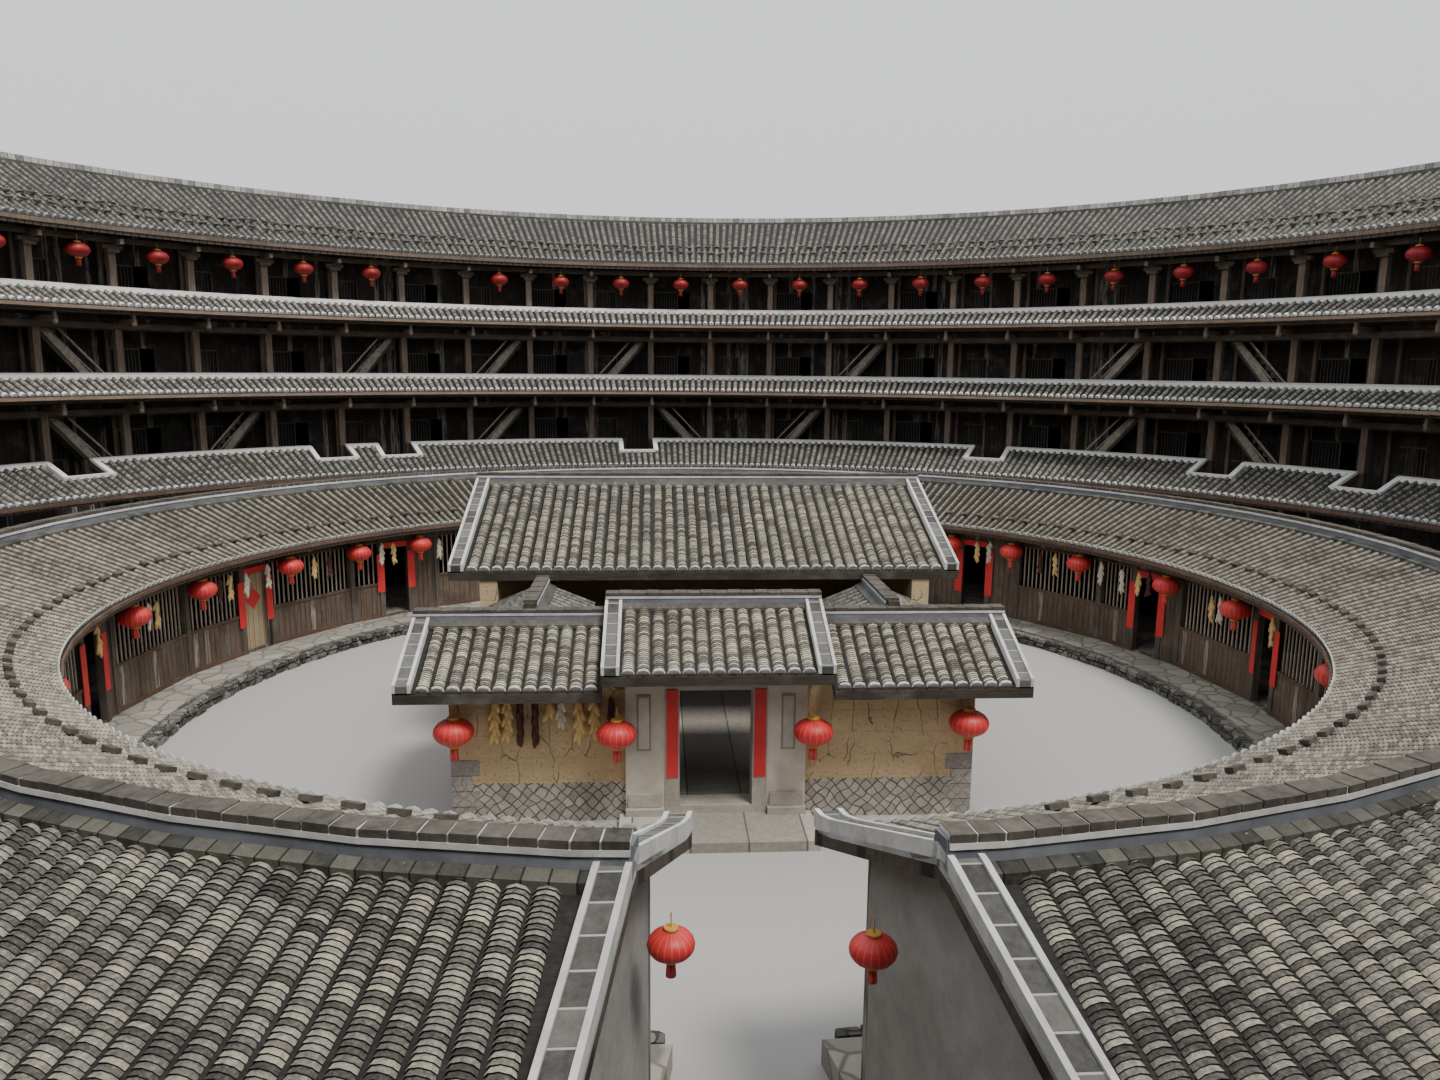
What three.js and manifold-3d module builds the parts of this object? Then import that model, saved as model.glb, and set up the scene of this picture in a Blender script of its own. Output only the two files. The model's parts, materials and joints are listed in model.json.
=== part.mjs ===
// Rammed-earth roundhouse: a four-storey outer ring, a low inner ring, and a hall in the courtyard.
// Lengths are metres of the building. The exported group is a 1:2 model in millimetres.
// The origin is the centre of the rings at courtyard level, with +Z up.
// A bearing is an angle in degrees from the main gate, at -Y, towards +X.
import * as THREE from 'three';
import { mergeVertices } from 'three/addons/utils/BufferGeometryUtils.js';
import Module from 'manifold-3d';

const wasm = await Module();
wasm.setup();

const modelScale = 1 / 2;
const millimetresPerMetre = 1000;
// Pieces that touch keep this much apart: 0.3 mm in the model.
const gap = 0.0006;

const bayCount = 56;
const bayAngle = 360 / bayCount;
const roomPairCount = bayCount / 2;
const roomPairAngle = 360 / roomPairCount;

const mainRoof = { innerEave: 25.09, ridge: 30.04, outerEave: 34.9, eaveTop: 13.75, ridgeTop: 16.3 };
const mainRoofThickness = 0.28;
const mainRidge = { halfWidth: 0.19, halfTop: 0.13, height: 0.24 };

const wall = { inner: 31.4, outer: 33.0, outerAtTop: 32.55 };
const footing = { inner: 31.32, outer: 33.12, top: 0.9 };
const gate = { width: 2.0, height: 3.0, jamb: 0.36, lintel: 0.42, depth: 0.62 };
const wallWindow = { width: 0.52, height: 0.85, sill: 0.95 };
const windowStoreys = [3, 4];
// The wall's joints, in pairs of rooms from the gate: each is midway between two windows.
const wallJoints = [6.5, 13.5, 20.5];

// Top of each gallery floor, by storey; the ground storey stands on the courtyard.
const floorTop = { 2: 4.3, 3: 7.4, 4: 10.55 };
const floorThickness = 0.2;
const floorInner = 25.96;
const gallery = { inner: 26.0, outer: 26.2, railHeight: 1.07, postWidth: 0.22, headHeight: 0.26 };
const roomFront = { inner: 27.5, thickness: 0.14, doorWidth: 0.95, doorHeight: 2.05, doorOffset: 3.2 };
const groundDoor = { width: 1.1, height: 2.25, every: 4 };
const passageOpening = { width: 2.6, height: 3.0 };

const leanTo = { inner: 23.47, top: 5.37, bottom: 4.27, thickness: 0.2 };
// Notches in the upper edge of the lean-to, each with a way out through the parapet behind it;
// bearings from the rear axis to the right, as seen from the courtyard.
const notch = { width: 1.45, inner: 24.9, wayOut: 1.15 };
const notchBearings = [-59.6, -36.9, -30.4, -4.7, 33.6, 56.2, 69.0];
const skirt = { inner: 24.58, drop: 0.73, thickness: 0.16 };

const innerRoof = { innerEave: 13.63, ridge: 16.83, outerEave: 20.03, eaveTop: 3.45, ridgeTop: 4.66 };
const innerRoofThickness = 0.2;
const innerRidge = { halfWidth: 0.16, halfTop: 0.11, height: 0.24 };
const innerBays = 28;
const innerBayAngle = 360 / innerBays;
const terrace = { inner: 13.25, outer: 19.45, top: 0.35 };
const innerFront = { inner: 14.5, thickness: 0.13, sill: 1.55, head: 2.95, post: 0.2 };
const innerBack = { inner: 19.0, thickness: 0.3, doorWidth: 1.0, doorHeight: 2.1, doorBays: [2, 5, 22, 25] };
const innerDoor = { width: 0.9, height: 2.3, threshold: 0.06, post: 0.18 };
// The passage through the inner ring widens outwards: its roof edges start at the inner eave.
const passage = { halfWidth: 0.75, flare: 0.19, terraceSetback: 0.3, wallSetback: 0.35, wall: 0.26 };
// Doorways in the front of the inner ring: the bay, and how far the doorway is from its middle.
const innerDoorways = [
  { bay: 2, offset: 0 },
  { bay: 4, offset: 0.4 },
  { bay: 6, offset: 1.0 },
  { bay: 8, offset: -0.4 },
  { bay: 10, offset: 0 },
  { bay: 12, offset: 0 },
  { bay: 15, offset: 0 },
  { bay: 17, offset: 0 },
  { bay: 19, offset: -1.04 },
  { bay: 21, offset: -0.54 },
  { bay: 23, offset: 0.4 },
  { bay: 25, offset: 0 },
];
const leafBay = 19;
const leaf = { thickness: 0.05, clearance: 0.012, side: 0.02, stileRadius: 0.03, inset: 0.09 };

const stair = { width: 0.7, radius: 26.76, run: 2.5, risers: 12, waist: 0.26, hatchRun: 2.24, hatchWidth: 0.82 };
// Each flight: the storey that it starts from, its bay counted from the rear axis to the right
// as seen from the courtyard, and the side that it rises to, 1 for right and -1 for left.
const flights = [
  [2, -9, -1],
  [2, -7, 1],
  [2, -3, 1],
  [2, 0, -1],
  [2, 2, 1],
  [2, 7, 1],
  [2, 9, -1],
  [3, -9, -1],
  [3, -5, 1],
  [3, -3, 1],
  [3, -1, 1],
  [3, 3, 1],
  [3, 7, 1],
  [3, 9, -1],
];

const hall = { halfWidth: 5.2, front: -5.8, rear: 5.6, wall: 0.4, frontWall: 0.45, floorTop: 0.35 };
const hallGate = { halfWall: 1.78, front: -5.95, rear: -5.45, halfFrame: 1.01, halfDoor: 0.72 };
const hallDoor = { sill: 0.35, head: 2.73, frameTop: 3.0, frameBottom: 0.2 };
const hallStep = { halfWidth: 1.9, front: -7.3, top: 0.2 };
const hallRoofThickness = 0.2;
const hallCap = { halfWidth: 0.15, halfTop: 0.11, height: 0.2 };
// Each gable roof: low edge, ridge and other low edge across it, with their heights.
const wingRoof = { low: -6.65, lowTop: 2.95, ridge: -4.7, ridgeTop: 3.85, high: -2.75, highTop: 2.95 };
const gateRoof = { low: -6.8, lowTop: 3.3, ridge: -4.75, ridgeTop: 4.2, high: -2.8, highTop: 3.3 };
const sideRoof = { low: -5.5, lowTop: 3.25, ridge: -3.75, ridgeTop: 3.98, high: -2.6, highTop: 3.5 };
const mainHallRoof = { low: -2.0, lowTop: 4.31, ridge: 2.2, ridgeTop: 5.9, high: 6.4, highTop: 4.31 };
const wingRoofEnd = 6.05;
const gateRoofEnd = 2.2;
const sideRoofStart = -4.7;
const mainHallRoofEnd = 5.9;

const earth = { color: 0xb58a55, roughness: 0.95, metalness: 0 };
const tile = { color: 0x6d6a64, roughness: 0.9, metalness: 0 };
const mortar = { color: 0xb9b6ad, roughness: 0.9, metalness: 0 };
const timber = { color: 0x5a4636, roughness: 0.85, metalness: 0 };
const boards = { color: 0x6e5843, roughness: 0.85, metalness: 0 };
const stone = { color: 0x8a867c, roughness: 0.9, metalness: 0 };
const granite = { color: 0x9c968a, roughness: 0.8, metalness: 0 };
const leafWood = { color: 0xb49b72, roughness: 0.75, metalness: 0 };

const house = new THREE.Group();

function radians(degrees) {
  return THREE.MathUtils.degToRad(degrees);
}

// A closed geometry as a solid that can be cut and joined.
function toSolid(geometry) {
  const plain = geometry.clone();
  plain.deleteAttribute('normal');
  plain.deleteAttribute('uv');
  const merged = mergeVertices(plain, 1e-5);
  const mesh = new wasm.Mesh({
    numProp: 3,
    vertProperties: new Float32Array(merged.attributes.position.array),
    triVerts: new Uint32Array(merged.index.array),
  });
  return new wasm.Manifold(mesh);
}

function toGeometry(solid) {
  const mesh = solid.getMesh();
  const geometry = new THREE.BufferGeometry();
  geometry.setAttribute('position', new THREE.BufferAttribute(mesh.vertProperties, 3));
  geometry.setIndex(new THREE.BufferAttribute(mesh.triVerts, 1));
  geometry.computeVertexNormals();
  return geometry;
}

function addPiece(name, geometry, look, parent = house) {
  const mesh = new THREE.Mesh(geometry, new THREE.MeshStandardMaterial(look));
  mesh.name = name;
  parent.add(mesh);
  return mesh;
}

function addSolid(name, solid, look) {
  return addPiece(name, toGeometry(solid), look);
}

function joinAll(solids) {
  return solids.reduce((joined, solid) => joined.add(solid));
}

// A closed outline of [radius, height] points, anticlockwise, turned once around the Z axis.
function ring(outline, sides = bayCount, firstCorner = bayAngle / 2) {
  const points = [...outline, outline[0]].map(([radius, height]) => new THREE.Vector2(radius, height));
  const geometry = new THREE.LatheGeometry(points, sides, radians(firstCorner));
  return toSolid(geometry.rotateX(Math.PI / 2));
}

function band(inner, outer, bottom, top, sides = bayCount, firstCorner = bayAngle / 2) {
  const outline = [
    [inner, bottom],
    [outer, bottom],
    [outer, top],
    [inner, top],
  ];
  return ring(outline, sides, firstCorner);
}

function slopedBand(inner, outer, innerTop, outerTop, thickness, firstCorner = bayAngle / 2) {
  const outline = [
    [inner, innerTop - thickness],
    [outer, outerTop - thickness],
    [outer, outerTop],
    [inner, innerTop],
  ];
  return ring(outline, bayCount, firstCorner);
}

// Everything between two bearings, as a prism that reaches past the building.
function wedge(fromBearing, toBearing) {
  const reach = 60;
  const steps = Math.ceil((toBearing - fromBearing) / 15);
  const shape = new THREE.Shape();
  shape.moveTo(0, 0);
  for (let step = 0; step <= steps; step += 1) {
    const bearing = radians(fromBearing + ((toBearing - fromBearing) * step) / steps);
    shape.lineTo(reach * Math.sin(bearing), -reach * Math.cos(bearing));
  }
  shape.closePath();
  const geometry = new THREE.ExtrudeGeometry(shape, { depth: 22, bevelEnabled: false });
  return toSolid(geometry.translate(0, 0, -1));
}

// A box that spans two radii and two heights at a bearing, moved sideways by an offset.
function block(bearing, inner, outer, width, bottom, top, offset = 0) {
  const geometry = new THREE.BoxGeometry(width, outer - inner, top - bottom);
  geometry.translate(offset, -(inner + outer) / 2, (bottom + top) / 2);
  return toSolid(geometry.rotateZ(radians(bearing)));
}

function box(x0, x1, y0, y1, z0, z1) {
  const geometry = new THREE.BoxGeometry(x1 - x0, y1 - y0, z1 - z0);
  return toSolid(geometry.translate((x0 + x1) / 2, (y0 + y1) / 2, (z0 + z1) / 2));
}

function outlineShape(outline) {
  return new THREE.Shape(outline.map(([across, up]) => new THREE.Vector2(across, up)));
}

// A [y, z] outline carried along X.
function alongX(outline, x0, x1) {
  const geometry = new THREE.ExtrudeGeometry(outlineShape(outline), { depth: x1 - x0, bevelEnabled: false });
  const turn = new THREE.Matrix4().makeBasis(
    new THREE.Vector3(0, 1, 0),
    new THREE.Vector3(0, 0, 1),
    new THREE.Vector3(1, 0, 0),
  );
  return toSolid(geometry.applyMatrix4(turn).translate(x0, 0, 0));
}

// An [x, z] outline carried along Y.
function alongY(outline, y0, y1) {
  const geometry = new THREE.ExtrudeGeometry(outlineShape(outline), { depth: y1 - y0, bevelEnabled: false });
  return toSolid(geometry.rotateX(Math.PI / 2).translate(0, y1, 0));
}

function ringRoofHeight(roof, radius) {
  const run = radius < roof.ridge ? roof.ridge - roof.innerEave : roof.outerEave - roof.ridge;
  return roof.ridgeTop - (Math.abs(radius - roof.ridge) / run) * (roof.ridgeTop - roof.eaveTop);
}

function mainUnderside(radius) {
  return ringRoofHeight(mainRoof, radius) - mainRoofThickness - gap;
}

function innerUnderside(radius) {
  return ringRoofHeight(innerRoof, radius) - innerRoofThickness - gap;
}

// The two slopes of a ring roof, which meet under its ridge.
function ringSlopes(roof, thickness, firstCorner) {
  const { innerEave, ridge, outerEave, eaveTop, ridgeTop } = roof;
  const half = gap / 2;
  return {
    inner: slopedBand(innerEave, ridge - half, eaveTop, ridgeTop, thickness, firstCorner),
    outer: slopedBand(ridge + half, outerEave, ridgeTop, eaveTop, thickness, firstCorner),
  };
}

function ringRidgeOutline(roof, ridge) {
  const foot = ringRoofHeight(roof, roof.ridge - ridge.halfWidth) + gap;
  return [
    [roof.ridge - ridge.halfWidth, foot],
    [roof.ridge, roof.ridgeTop + gap],
    [roof.ridge + ridge.halfWidth, foot],
    [roof.ridge + ridge.halfTop, roof.ridgeTop + ridge.height],
    [roof.ridge - ridge.halfTop, roof.ridgeTop + ridge.height],
  ];
}

function addMainRoof() {
  const slopes = ringSlopes(mainRoof, mainRoofThickness);
  addSolid('main_roof_inner_slope', slopes.inner, tile);
  addSolid('main_roof_outer_slope', slopes.outer, tile);
  addSolid('main_ridge', ring(ringRidgeOutline(mainRoof, mainRidge)), mortar);
}

function gateGap(bottom, top) {
  const width = gate.width + 2 * gate.jamb;
  return block(0, 30, 34, width, bottom, top);
}

function wallWindows() {
  const cutters = [];
  for (let pair = 0; pair < roomPairCount; pair += 1) {
    for (const storey of windowStoreys) {
      const bottom = floorTop[storey] + wallWindow.sill;
      const bearing = pair * roomPairAngle;
      cutters.push(block(bearing, 30, 34, wallWindow.width, bottom, bottom + wallWindow.height));
    }
  }
  return joinAll(cutters);
}

function addOuterWall() {
  const base = footing.top + gap;
  const whole = ring([
    [wall.inner, base],
    [wall.outer, base],
    [wall.outerAtTop, mainUnderside(wall.outerAtTop)],
    [wall.inner, mainUnderside(wall.inner)],
  ]).subtract(wallWindows());
  const gateTop = gate.height + gate.lintel;
  const joint = (gap / wall.outer) * (180 / Math.PI);
  const overGateHalf = THREE.MathUtils.radToDeg(Math.asin((gate.width / 2 + gate.jamb + 0.5) / wall.inner));
  const [right, rear, left] = wallJoints.map((pair) => pair * roomPairAngle);
  const quarters = [
    ['outer_wall_front_right', overGateHalf, right],
    ['outer_wall_rear_right', right, rear],
    ['outer_wall_rear_left', rear, left],
    ['outer_wall_front_left', left, 360 - overGateHalf],
  ];
  for (const [name, from, to] of quarters) {
    addSolid(name, whole.intersect(wedge(from + joint, to - joint)), earth);
  }
  const overGate = whole.intersect(wedge(-overGateHalf, overGateHalf)).subtract(gateGap(-1, gateTop + gap));
  addSolid('wall_around_gate', overGate, earth);
  const footingRing = band(footing.inner, footing.outer, 0, footing.top).subtract(gateGap(-1, 2));
  addSolid('stone_footing', footingRing, stone);
  const halfOuter = gate.width / 2 + gate.jamb - gap;
  const surround = box(-halfOuter, halfOuter, -footing.outer, -footing.outer + gate.depth, 0, gateTop);
  const doorway = box(-gate.width / 2, gate.width / 2, -footing.outer - 1, -wall.inner, -1, gate.height);
  addSolid('gate_surround', surround.subtract(doorway), granite);
}

// Where a flight stands: its bearing, and the turn that makes local +X point along its rise.
function flightPlace([, bay, side]) {
  return { bearing: 180 - bay * bayAngle, turn: side > 0 ? 180 : 0 };
}

function hatch(flight) {
  const { bearing, turn } = flightPlace(flight);
  const start = stair.run / 2 - stair.hatchRun;
  const geometry = new THREE.BoxGeometry(stair.hatchRun, stair.hatchWidth, 2);
  geometry.translate(start + stair.hatchRun / 2 + 0.02, 0, floorTop[flight[0] + 1]);
  geometry.rotateZ(radians(turn)).translate(0, -stair.radius, 0).rotateZ(radians(bearing));
  return toSolid(geometry);
}

function addFlight(flight, index) {
  const [storey] = flight;
  const { bearing, turn } = flightPlace(flight);
  const rise = floorTop[storey + 1] - floorTop[storey];
  const riser = rise / stair.risers;
  const treads = stair.risers - 1;
  const going = stair.run / treads;
  const shape = new THREE.Shape();
  shape.moveTo(0, 0);
  for (let tread = 0; tread < treads; tread += 1) {
    shape.lineTo(tread * going, (tread + 1) * riser);
    shape.lineTo((tread + 1) * going, (tread + 1) * riser);
  }
  shape.lineTo(stair.run, treads * riser - stair.waist);
  shape.lineTo(going, 0);
  shape.closePath();
  const geometry = new THREE.ExtrudeGeometry(shape, { depth: stair.width, bevelEnabled: false });
  geometry.rotateX(Math.PI / 2).translate(-stair.run / 2, stair.width / 2, 0);
  const place = new THREE.Group();
  place.rotation.z = radians(bearing);
  house.add(place);
  const mesh = addPiece(`stair_flight_${index + 1}`, geometry, boards, place);
  mesh.rotation.z = radians(turn);
  mesh.position.set(0, -stair.radius, floorTop[storey] + gap);
}

function addFloors() {
  for (const storey of [2, 3, 4]) {
    let floor = band(floorInner, wall.inner - gap, floorTop[storey] - floorThickness, floorTop[storey]);
    const below = flights.filter(([from]) => from === storey - 1);
    if (below.length > 0) {
      floor = floor.subtract(joinAll(below.map(hatch)));
    }
    addSolid(`gallery_floor_${storey}`, floor, boards);
  }
  flights.forEach(addFlight);
}

function notchBlocks(width, inner, outer) {
  const bottom = leanTo.bottom - leanTo.thickness - 0.1;
  return notchBearings.map((at) => block(180 - at, inner, outer, width, bottom, leanTo.top + 0.1));
}

// Parapet, posts and head beam of one storey of the gallery, in one ring.
function addGallery(storey) {
  const bottom = floorTop[storey] + gap;
  const railTop = floorTop[storey] + gallery.railHeight;
  const nextFloor = floorTop[storey + 1];
  const topInner = nextFloor ? nextFloor - floorThickness - gap : mainUnderside(gallery.inner);
  const topOuter = nextFloor ? topInner : mainUnderside(gallery.outer);
  const whole = ring([
    [gallery.inner, bottom],
    [gallery.outer, bottom],
    [gallery.outer, topOuter],
    [gallery.inner, topInner],
  ]);
  const bayWidth = 2 * gallery.inner * Math.sin(radians(bayAngle / 2));
  const opening = bayWidth - gallery.postWidth;
  const bays = [];
  for (let bay = 0; bay < bayCount; bay += 1) {
    bays.push(block(bay * bayAngle, 25, 27, opening, railTop, topInner - gallery.headHeight));
  }
  const waysOut = storey === 2 ? notchBlocks(notch.wayOut, gallery.inner - 0.1, gallery.outer + 0.1) : [];
  addSolid(`gallery_frame_${storey}`, whole.subtract(joinAll([...bays, ...waysOut])), timber);
}

// The plank wall between gallery and rooms, with a doorway for each pair of rooms.
function addRoomFront(storey) {
  const bottom = floorTop[storey] + gap;
  const outer = roomFront.inner + roomFront.thickness;
  const nextFloor = floorTop[storey + 1];
  const topInner = nextFloor ? nextFloor - floorThickness - gap : mainUnderside(roomFront.inner * 0.993);
  const whole = band(roomFront.inner, outer, bottom, topInner, roomPairCount, bayAngle / 2);
  const doors = [];
  for (let pair = 0; pair < roomPairCount; pair += 1) {
    const bearing = bayAngle / 2 + (pair + 0.5) * roomPairAngle + roomFront.doorOffset;
    doors.push(block(bearing, 26.5, 28.5, roomFront.doorWidth, bottom - 1, bottom + roomFront.doorHeight));
  }
  addSolid(`room_front_${storey}`, whole.subtract(joinAll(doors)), boards);
}

function addGroundFront() {
  const top = floorTop[2] - floorThickness - gap;
  const openings = [block(0, 25, 27, passageOpening.width, -1, passageOpening.height)];
  for (let bay = groundDoor.every; bay < bayCount; bay += groundDoor.every) {
    openings.push(block(bay * bayAngle, 25, 27, groundDoor.width, -1, groundDoor.height));
  }
  const whole = band(gallery.inner, gallery.outer, 0, top);
  addSolid('ground_front', whole.subtract(joinAll(openings)), timber);
}

function addSkirts() {
  const outer = gallery.inner - gap;
  const lean = slopedBand(leanTo.inner, outer, leanTo.bottom, leanTo.top, leanTo.thickness);
  const notches = joinAll(notchBlocks(notch.width, notch.inner, gallery.inner + 0.1));
  addSolid('lean_to_roof', lean.subtract(notches), tile);
  for (const [name, storey] of [['lower_skirt_roof', 3], ['upper_skirt_roof', 4]]) {
    const top = floorTop[storey] + gallery.railHeight;
    addSolid(name, slopedBand(skirt.inner, outer, top - skirt.drop, top, skirt.thickness), tile);
  }
}

// The passage as a prism, with its sides moved outwards by a setback.
function passagePrism(setback) {
  const outline = [12, 22].map((out) => {
    const half = passage.halfWidth + passage.flare * (out - innerRoof.innerEave) + setback;
    return { half, out };
  });
  const [near, far] = outline;
  const shape = outlineShape([
    [-near.half, -near.out],
    [-far.half, -far.out],
    [far.half, -far.out],
    [near.half, -near.out],
  ]);
  const geometry = new THREE.ExtrudeGeometry(shape, { depth: 8, bevelEnabled: false });
  return toSolid(geometry.translate(0, 0, -1));
}

function addInnerRoof() {
  const slopes = ringSlopes(innerRoof, innerRoofThickness, 0);
  const ridge = ring(ringRidgeOutline(innerRoof, innerRidge), bayCount, 0);
  addSolid('inner_roof_inner_slope', slopes.inner.subtract(passagePrism(0)), tile);
  addSolid('inner_roof_outer_slope', slopes.outer.subtract(passagePrism(0)), tile);
  addSolid('inner_ridge', ridge.subtract(passagePrism(0)), mortar);
}

function addTerrace() {
  const floor = band(terrace.inner, terrace.outer, 0, terrace.top, bayCount, 0);
  addSolid('inner_terrace', floor.subtract(passagePrism(passage.terraceSetback)), stone);
}

// The plank front of the inner ring: a barred window in each bay, beside a doorway or alone.
function innerFrontOpenings() {
  const openings = [];
  const sill = terrace.top + innerDoor.threshold;
  const halfBay = innerFront.inner * Math.sin(radians(innerBayAngle / 2)) - innerFront.post / 2;
  for (let bay = 1; bay < innerBays - 1; bay += 1) {
    const bearing = (bay + 0.5) * innerBayAngle;
    const doorway = innerDoorways.find((place) => place.bay === bay);
    let from = -halfBay;
    let to = halfBay;
    if (doorway) {
      openings.push(block(bearing, 13.5, 15.5, innerDoor.width, sill, sill + innerDoor.height, doorway.offset));
      const clear = innerDoor.width / 2 + innerDoor.post;
      from = doorway.offset > 0 ? from : doorway.offset + clear;
      to = doorway.offset > 0 ? doorway.offset - clear : to;
    }
    const middle = (from + to) / 2;
    openings.push(block(bearing, 13.5, 15.5, to - from, innerFront.sill, innerFront.head, middle));
  }
  return joinAll(openings);
}

function addInnerWalls() {
  const base = terrace.top + gap;
  const frontOuter = innerFront.inner + innerFront.thickness;
  const apothem = Math.cos(radians(innerBayAngle / 2));
  const frontTop = innerUnderside(innerFront.inner * apothem);
  const front = band(innerFront.inner, frontOuter, base, frontTop, innerBays, 0);
  const ended = front.subtract(passagePrism(passage.wallSetback));
  addSolid('inner_front', ended.subtract(innerFrontOpenings()), boards);
  const backOuter = innerBack.inner + innerBack.thickness;
  const back = band(innerBack.inner, backOuter, base, innerUnderside(backOuter), innerBays, 0);
  const doors = innerBack.doorBays.map((bay) => {
    const bearing = (bay + 0.5) * innerBayAngle;
    return block(bearing, 18, 20, innerBack.doorWidth, base - 1, base + innerBack.doorHeight);
  });
  const backEnded = back.subtract(passagePrism(passage.wallSetback));
  addSolid('inner_back_wall', backEnded.subtract(joinAll(doors)), earth);
  addPassageWalls(frontOuter, base);
}

// The two end walls of the inner ring, one on each side of the passage.
function addPassageWalls(frontOuter, base) {
  const between = band(frontOuter + gap, innerBack.inner - gap, base, 6, innerBays, 0);
  const low = innerRoof.eaveTop - innerRoofThickness - gap;
  const underRoof = ring(
    [
      [innerRoof.innerEave, 0],
      [innerRoof.outerEave, 0],
      [innerRoof.outerEave, low],
      [innerRoof.ridge, innerUnderside(innerRoof.ridge)],
      [innerRoof.innerEave, low],
    ],
    bayCount,
    0,
  );
  const sides = passagePrism(passage.wallSetback + passage.wall).subtract(passagePrism(passage.wallSetback));
  const walls = sides.intersect(between).intersect(underRoof);
  addSolid('passage_wall_right', walls.intersect(box(0, 6, -22, -12, 0, 8)), earth);
  addSolid('passage_wall_left', walls.intersect(box(-6, 0, -22, -12, 0, 8)), earth);
}

// The leaf turns on a round stile at its left edge, seen from the courtyard.
function addDoorLeaf() {
  const { offset } = innerDoorways.find((place) => place.bay === leafBay);
  const sill = terrace.top + innerDoor.threshold;
  const width = innerDoor.width - 2 * leaf.side - leaf.stileRadius + 0.01;
  const panel = new THREE.BoxGeometry(width, leaf.thickness, innerDoor.height - 2 * leaf.clearance);
  panel.translate(-width / 2, 0, innerDoor.height / 2);
  const stile = new THREE.CylinderGeometry(leaf.stileRadius, leaf.stileRadius, innerDoor.height - 2 * gap, 12);
  stile.rotateX(Math.PI / 2).translate(0, 0, innerDoor.height / 2);
  const place = new THREE.Group();
  place.rotation.z = radians((leafBay + 0.5) * innerBayAngle);
  house.add(place);
  const mesh = addPiece('inner_door_leaf', toGeometry(toSolid(panel).add(toSolid(stile))), leafWood, place);
  const apothem = innerFront.inner * Math.cos(radians(innerBayAngle / 2));
  const hinge = offset + innerDoor.width / 2 - leaf.stileRadius - 0.01;
  mesh.position.set(hinge, -apothem - leaf.inset, sill);
}

function gableOutline(roof) {
  const lowSlope = (roof.ridgeTop - roof.lowTop) / (roof.ridge - roof.low);
  const highSlope = (roof.ridgeTop - roof.highTop) / (roof.high - roof.ridge);
  return [
    [roof.low, roof.lowTop - hallRoofThickness],
    [roof.ridge, roof.ridgeTop - hallRoofThickness],
    [roof.high, roof.highTop - hallRoofThickness],
    [roof.high, roof.highTop],
    [roof.ridge + hallCap.halfWidth, roof.ridgeTop - hallCap.halfWidth * highSlope],
    [roof.ridge + hallCap.halfTop, roof.ridgeTop + hallCap.height],
    [roof.ridge - hallCap.halfTop, roof.ridgeTop + hallCap.height],
    [roof.ridge - hallCap.halfWidth, roof.ridgeTop - hallCap.halfWidth * lowSlope],
    [roof.low, roof.lowTop],
  ];
}

// Everything from just under a gable roof upwards.
function overGable(roof) {
  const below = hallRoofThickness + gap;
  return [
    [roof.low, roof.lowTop - below],
    [roof.ridge, roof.ridgeTop - below],
    [roof.high, roof.highTop - below],
    [roof.high, 12],
    [roof.low, 12],
  ];
}

// Everything from just over a gable roof downwards.
function underGable(roof) {
  const over = gableOutline(roof)
    .slice(3)
    .map(([across, up]) => [across + Math.sign(across - roof.ridge) * gap, up + gap]);
  return [[roof.low - gap, -1], [roof.high + gap, -1], ...over];
}

function mirrored(roof) {
  return {
    low: -roof.high,
    lowTop: roof.highTop,
    ridge: -roof.ridge,
    ridgeTop: roof.ridgeTop,
    high: -roof.low,
    highTop: roof.lowTop,
  };
}

function hallRoofSpace() {
  const sideEnd = mainHallRoof.low + gap;
  return joinAll([
    alongX(overGable(wingRoof), -wingRoofEnd, -gateRoofEnd),
    alongX(overGable(wingRoof), gateRoofEnd, wingRoofEnd),
    alongX(overGable(gateRoof), -gateRoofEnd, gateRoofEnd),
    alongX(overGable(mainHallRoof), -mainHallRoofEnd, mainHallRoofEnd),
    alongY(overGable(sideRoof), sideRoofStart, sideEnd),
    alongY(overGable(mirrored(sideRoof)), sideRoofStart, sideEnd),
  ]);
}

function addHallRoofs() {
  const wingInner = gateRoofEnd + gap;
  addSolid('hall_wing_roof_left', alongX(gableOutline(wingRoof), -wingRoofEnd, -wingInner), tile);
  addSolid('hall_wing_roof_right', alongX(gableOutline(wingRoof), wingInner, wingRoofEnd), tile);
  addSolid('hall_gate_roof', alongX(gableOutline(gateRoof), -gateRoofEnd, gateRoofEnd), tile);
  addSolid('hall_main_roof', alongX(gableOutline(mainHallRoof), -mainHallRoofEnd, mainHallRoofEnd), tile);
  const wingSpace = alongX(underGable(wingRoof), -10, 10);
  const sideEnd = mainHallRoof.low - gap;
  for (const [name, roof] of [['hall_side_roof_left', sideRoof], ['hall_side_roof_right', mirrored(sideRoof)]]) {
    addSolid(name, alongY(gableOutline(roof), sideRoofStart, sideEnd).subtract(wingSpace), tile);
  }
}

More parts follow.
